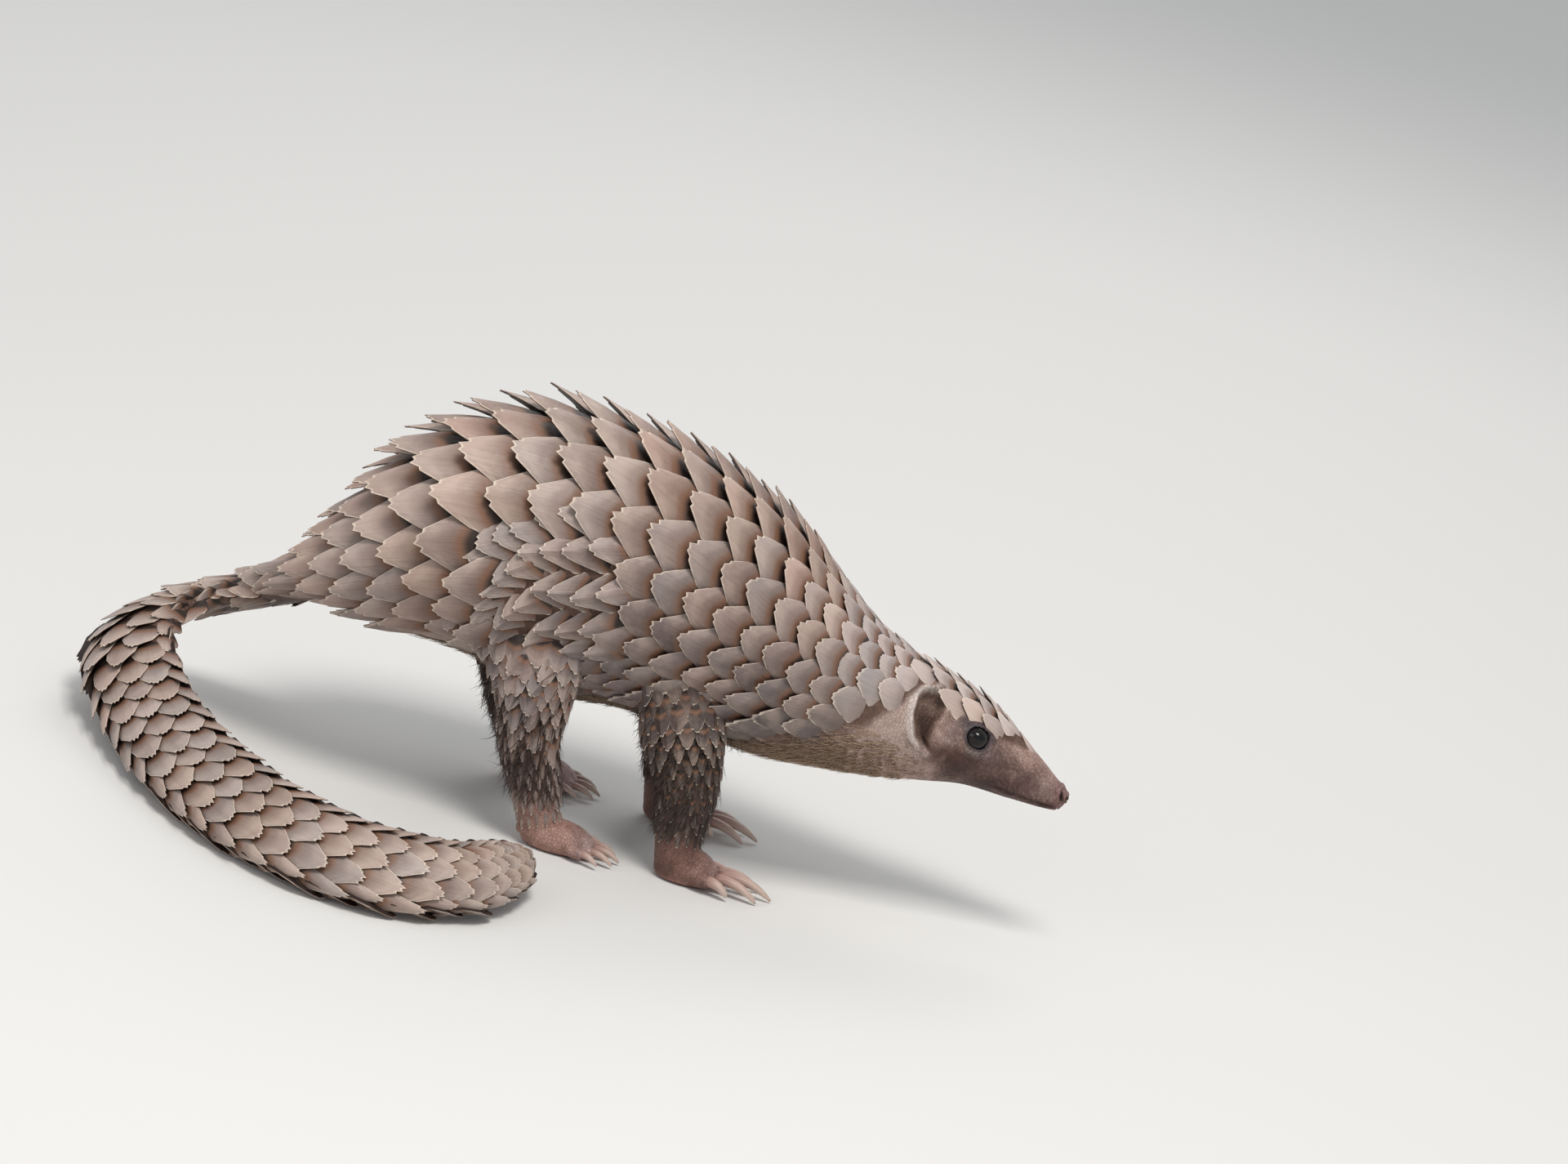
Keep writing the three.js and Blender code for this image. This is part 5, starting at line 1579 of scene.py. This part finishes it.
def hair_places(count, density, lie, length, width, stand):
    """The places of tufts rooted at random in the hide, thick where the density is high, and their
    roots: along the lock the place is root + lie s + (stand s - curl s^2) outward + sway s^2
    sideways, and the width falls as (1 - s)^0.8."""
    corners = triangles_of(body_skin)
    a, b, c = skin_places[corners].transpose(1, 0, 2)
    weight = 0.5 * np.linalg.norm(np.cross(b - a, c - a), axis=1) * density[corners].mean(axis=1)
    corners = corners[hair_rng.choice(len(corners), count, p=weight / weight.sum())]
    share = hair_rng.dirichlet([1, 1, 1], count)[..., None]
    root = np.sum(skin_places[corners] * share, axis=1)
    a, b, c = skin_places[corners].transpose(1, 0, 2)
    out = unit(np.cross(b - a, c - a))
    along = np.sum(lie[corners] * share, axis=1) + HAIR_SPREAD * hair_rng.normal(size=(count, 3))
    along = unit(along - np.sum(along * out, axis=1)[:, None] * out)
    aside = np.cross(out, along)
    long = np.sum(length[corners] * share[..., 0], axis=1) * hair_rng.uniform(0.65, 1.2, count)
    sway = hair_rng.normal(size=count) * HAIR_SWAY
    rise = stand * hair_rng.uniform(0.5, 1.4, count)
    thick = width * hair_rng.uniform(0.7, 1.3, count)
    long, sway, rise, thick = (per_tuft(values) for values in (long, sway, rise, thick))
    root_inside, along, out, aside = (per_tuft(values)
                                      for values in (root - ROOT_DEPTH * out, along, out, aside))
    s = HAIR_ROWS[None, :, None, None]
    turn = HAIR_CORNERS[None, None, :, None]
    middle = along * s + out * (rise * (s - HAIR_CURL * s**2)) + aside * sway * s**2
    places = root_inside + long * middle
    thick = thick * (1 - 0.97 * s) ** 0.8
    section = aside * np.cos(turn) * LOCK_WIDE + out * np.sin(turn) * LOCK_HIGH
    places = places + thick * section
    places[..., 2] = np.maximum(places[..., 2], HAIR_FLOOR)
    return places, root


def hair_bake(root):
    """The bake map of the tufts: a patch for each at its root's place on the hide's unwrap, which
    runs along the body one way and from the back down to the feet the other way."""
    t, degrees = along_and_around(root)
    low = np.minimum(root[:, 2] / 90, 1)
    side = np.sign(root[:, 1] - OUTLINE_MIDDLE[1])
    home = np.stack([0.02 + 0.94 * (t / TAIL_TIP),
                     0.5 + side * (0.02 + 0.3 * degrees / 180 + 0.16 * low)], axis=1)
    patch = np.stack(crossed(HAIR_ROWS, [0.0, 0.5, 1.0]), axis=-1).reshape(1, -1, 2)
    return home[:, None] + (patch - 0.5) * HAIR_PATCH


def hair_piece(name, count, density, lie, length, width, stand, colours):
    """One piece of many tufts. Each is coloured between the first two colours at its root and runs
    to the third at its tip, by share^1.5."""
    places, root = hair_places(count, density, lie, length, width, stand)
    rows, columns = places.shape[1:3]
    faces = for_copies(grid_faces(rows, columns), count, rows * columns)
    tuft = new_piece(name, places, faces, hair_finish(name))
    shade = hair_rng.uniform(0, 1, count)[:, None]
    dark, pale, tip = (np.array(colour) for colour in colours)
    root_colour = per_tuft(dark * (1 - shade) + pale * shade)
    s = HAIR_ROWS[None, :, None, None] ** 1.5
    colour = np.broadcast_to(root_colour * (1 - s) + tip * s, places.shape)
    store(tuft, "hair_colour", "FLOAT_COLOR", colour.reshape(-1, 3))
    add_uv(tuft, "OFBake", hair_bake(root))
    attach(tuft, "root")


hide_t, hide_degrees = along_and_around(skin_places)
hide_height = skin_places[:, 2]
tailward = unit(curve(BODY, np.minimum(hide_t + 0.3, TAIL_TIP))[:, :3]
                - curve(BODY, np.maximum(hide_t - 0.3, 0))[:, :3])
on_legs, by_foot, inner = np.zeros((3, len(skin_places)))
for side in SIDES.values():
    for _, stations, _, back in LEGS:
        forward, outward = from_leg(skin_places, stations, side, back)
        away = np.hypot(forward, outward)
        near = smooth(30, 22, away) * smooth(84, 62, hide_height)
        on_legs = np.maximum(on_legs, near)
        inner = np.maximum(inner, near * smooth(4, -5, outward))
        by_foot = np.maximum(by_foot, smooth(30, 20, hide_height) * smooth(48, 36, away))
off_scales = smooth(-4, 10, hide_degrees - np.interp(hide_t, *LOWER_BORDER))
above_feet = smooth(30, 44, hide_height)
throat = (off_scales * smooth(4.8, 6.6, hide_t) * smooth(10.0, 8.6, hide_t) * (1 - on_legs)
          * above_feet * smooth(96, 116, hide_degrees))
belly = (off_scales * smooth(8.4, 9.4, hide_t) * smooth(13.6, 12.6, hide_t) * (1 - on_legs)
         * above_feet)
legs = (on_legs * (1 - by_foot) * (0.6 + inner) + 0.5 * by_foot) * smooth(12, 24, hide_height)
hair_piece("throat_hair", count=6000, density=throat + NO_HAIR,
           lie=tailward + [0, 0, -0.25],
           length=6.0 + 3.5 * smooth(5.6, 8, hide_t), width=0.27, stand=0.42,
           colours=[paint(158, 128, 106), paint(122, 96, 79), paint(202, 176, 150)])
hair_piece("belly_hair", count=4200, density=belly + NO_HAIR,
           lie=tailward + [0, 0, -0.3],
           length=np.full(len(skin_places), 11.0), width=0.30, stand=0.45,
           colours=[paint(128, 104, 86), paint(96, 76, 64), paint(188, 166, 142)])
hair_piece("leg_hair", count=8000, density=legs + NO_HAIR,
           lie=np.broadcast_to([-0.25, 0.0, -1.0], tailward.shape),
           length=12.5 - 9.5 * by_foot, width=0.25, stand=0.36,
           colours=[paint(60, 45, 38), paint(40, 30, 26), paint(94, 77, 68)])


# Floor, light and view

# A plain pale floor that runs on out of sight, lit as in a studio: one soft light high before the
# animal, weaker ones on the left and behind, and a pale room all round. The camera looks down a
# little and is rolled.

FLOOR_HALF, FLOOR_HEIGHT = 30.0, -0.0004         # half the floor's length, and its top, in metres
FLOOR_COLOUR, FLOOR_ROUGHNESS = (0.66, 0.65, 0.63), 0.9
ROOM_COLOUR, ROOM_LIGHT = (0.90, 0.93, 0.97), 0.62
CAMERA_TURN, CAMERA_FALL = np.radians(15.0), np.radians(16.0)
CAMERA_PLACE = np.array([0.07215, -2.81779, 0.95988])
LENS, FILM_WIDTH, FARTHEST = 156.25, 36.0, 100.0   # millimetres, millimetres, metres

corners = [(x * FLOOR_HALF, y * FLOOR_HALF, FLOOR_HEIGHT)
           for x, y in ((-1, -1), (1, -1), (1, 1), (-1, 1))]
floor_mesh = bpy.data.meshes.new("floor")
floor_mesh.from_pydata(corners, [], [(0, 1, 2, 3)])
floor = bpy.data.objects.new("floor", floor_mesh)
bpy.context.scene.collection.objects.link(floor)
floor_mesh.materials.append(Nodes("floor_paint").finish(FLOOR_COLOUR, FLOOR_ROUGHNESS))

room = bpy.data.worlds.new("room")
room.use_nodes = True
room.node_tree.nodes["Background"].inputs["Color"].default_value = (*ROOM_COLOUR, 1)
room.node_tree.nodes["Background"].inputs["Strength"].default_value = ROOM_LIGHT
bpy.context.scene.world = room


def set_up(name, data, place, right, up, way):
    """Puts a light or a camera in the scene: its own x, y and z point right, up and along way."""
    thing = bpy.data.objects.new(name, data)
    turned = Matrix(np.column_stack([right, up, way]).tolist()).to_4x4()
    thing.matrix_world = Matrix.Translation(place) @ turned
    bpy.context.scene.collection.objects.link(thing)
    return thing


def area_light(name, place, aim, size, power, colour):
    """A square soft light in metres and watts, turned to shine on a point."""
    light = bpy.data.lights.new(name, "AREA")
    light.size, light.energy, light.color = size, power, colour
    way = unit(np.array(place, float) - np.array(aim, float))
    right = unit(np.cross(UPWARD, way))
    set_up(name, light, place, right, np.cross(way, right), way)


area_light("key", (0.2, -0.8, 2.0), aim=(0, 0, 0.1), size=0.75, power=31,
           colour=(1.0, 0.97, 0.93))
area_light("fill", (-1.6, -1.3, 1.0), aim=(0, 0, 0.1), size=1.2, power=7,
           colour=(0.95, 0.97, 1.0))
area_light("back", (0.3, 1.6, 1.3), aim=(0, 0, 0.12), size=0.9, power=8,
           colour=(1.0, 0.98, 0.95))

forward = np.array([0, np.cos(CAMERA_FALL), -np.sin(CAMERA_FALL)])
level_up = np.array([0, np.sin(CAMERA_FALL), np.cos(CAMERA_FALL)])
right = np.cos(CAMERA_TURN) * FORWARD + np.sin(CAMERA_TURN) * level_up
up = np.cos(CAMERA_TURN) * level_up - np.sin(CAMERA_TURN) * FORWARD
lens = bpy.data.cameras.new("view")
lens.lens, lens.sensor_width, lens.clip_end = LENS, FILM_WIDTH, FARTHEST
bpy.context.scene.camera = set_up("view", lens, CAMERA_PLACE.tolist(), right, up, -forward)
bpy.context.scene.view_settings.view_transform = "Standard"
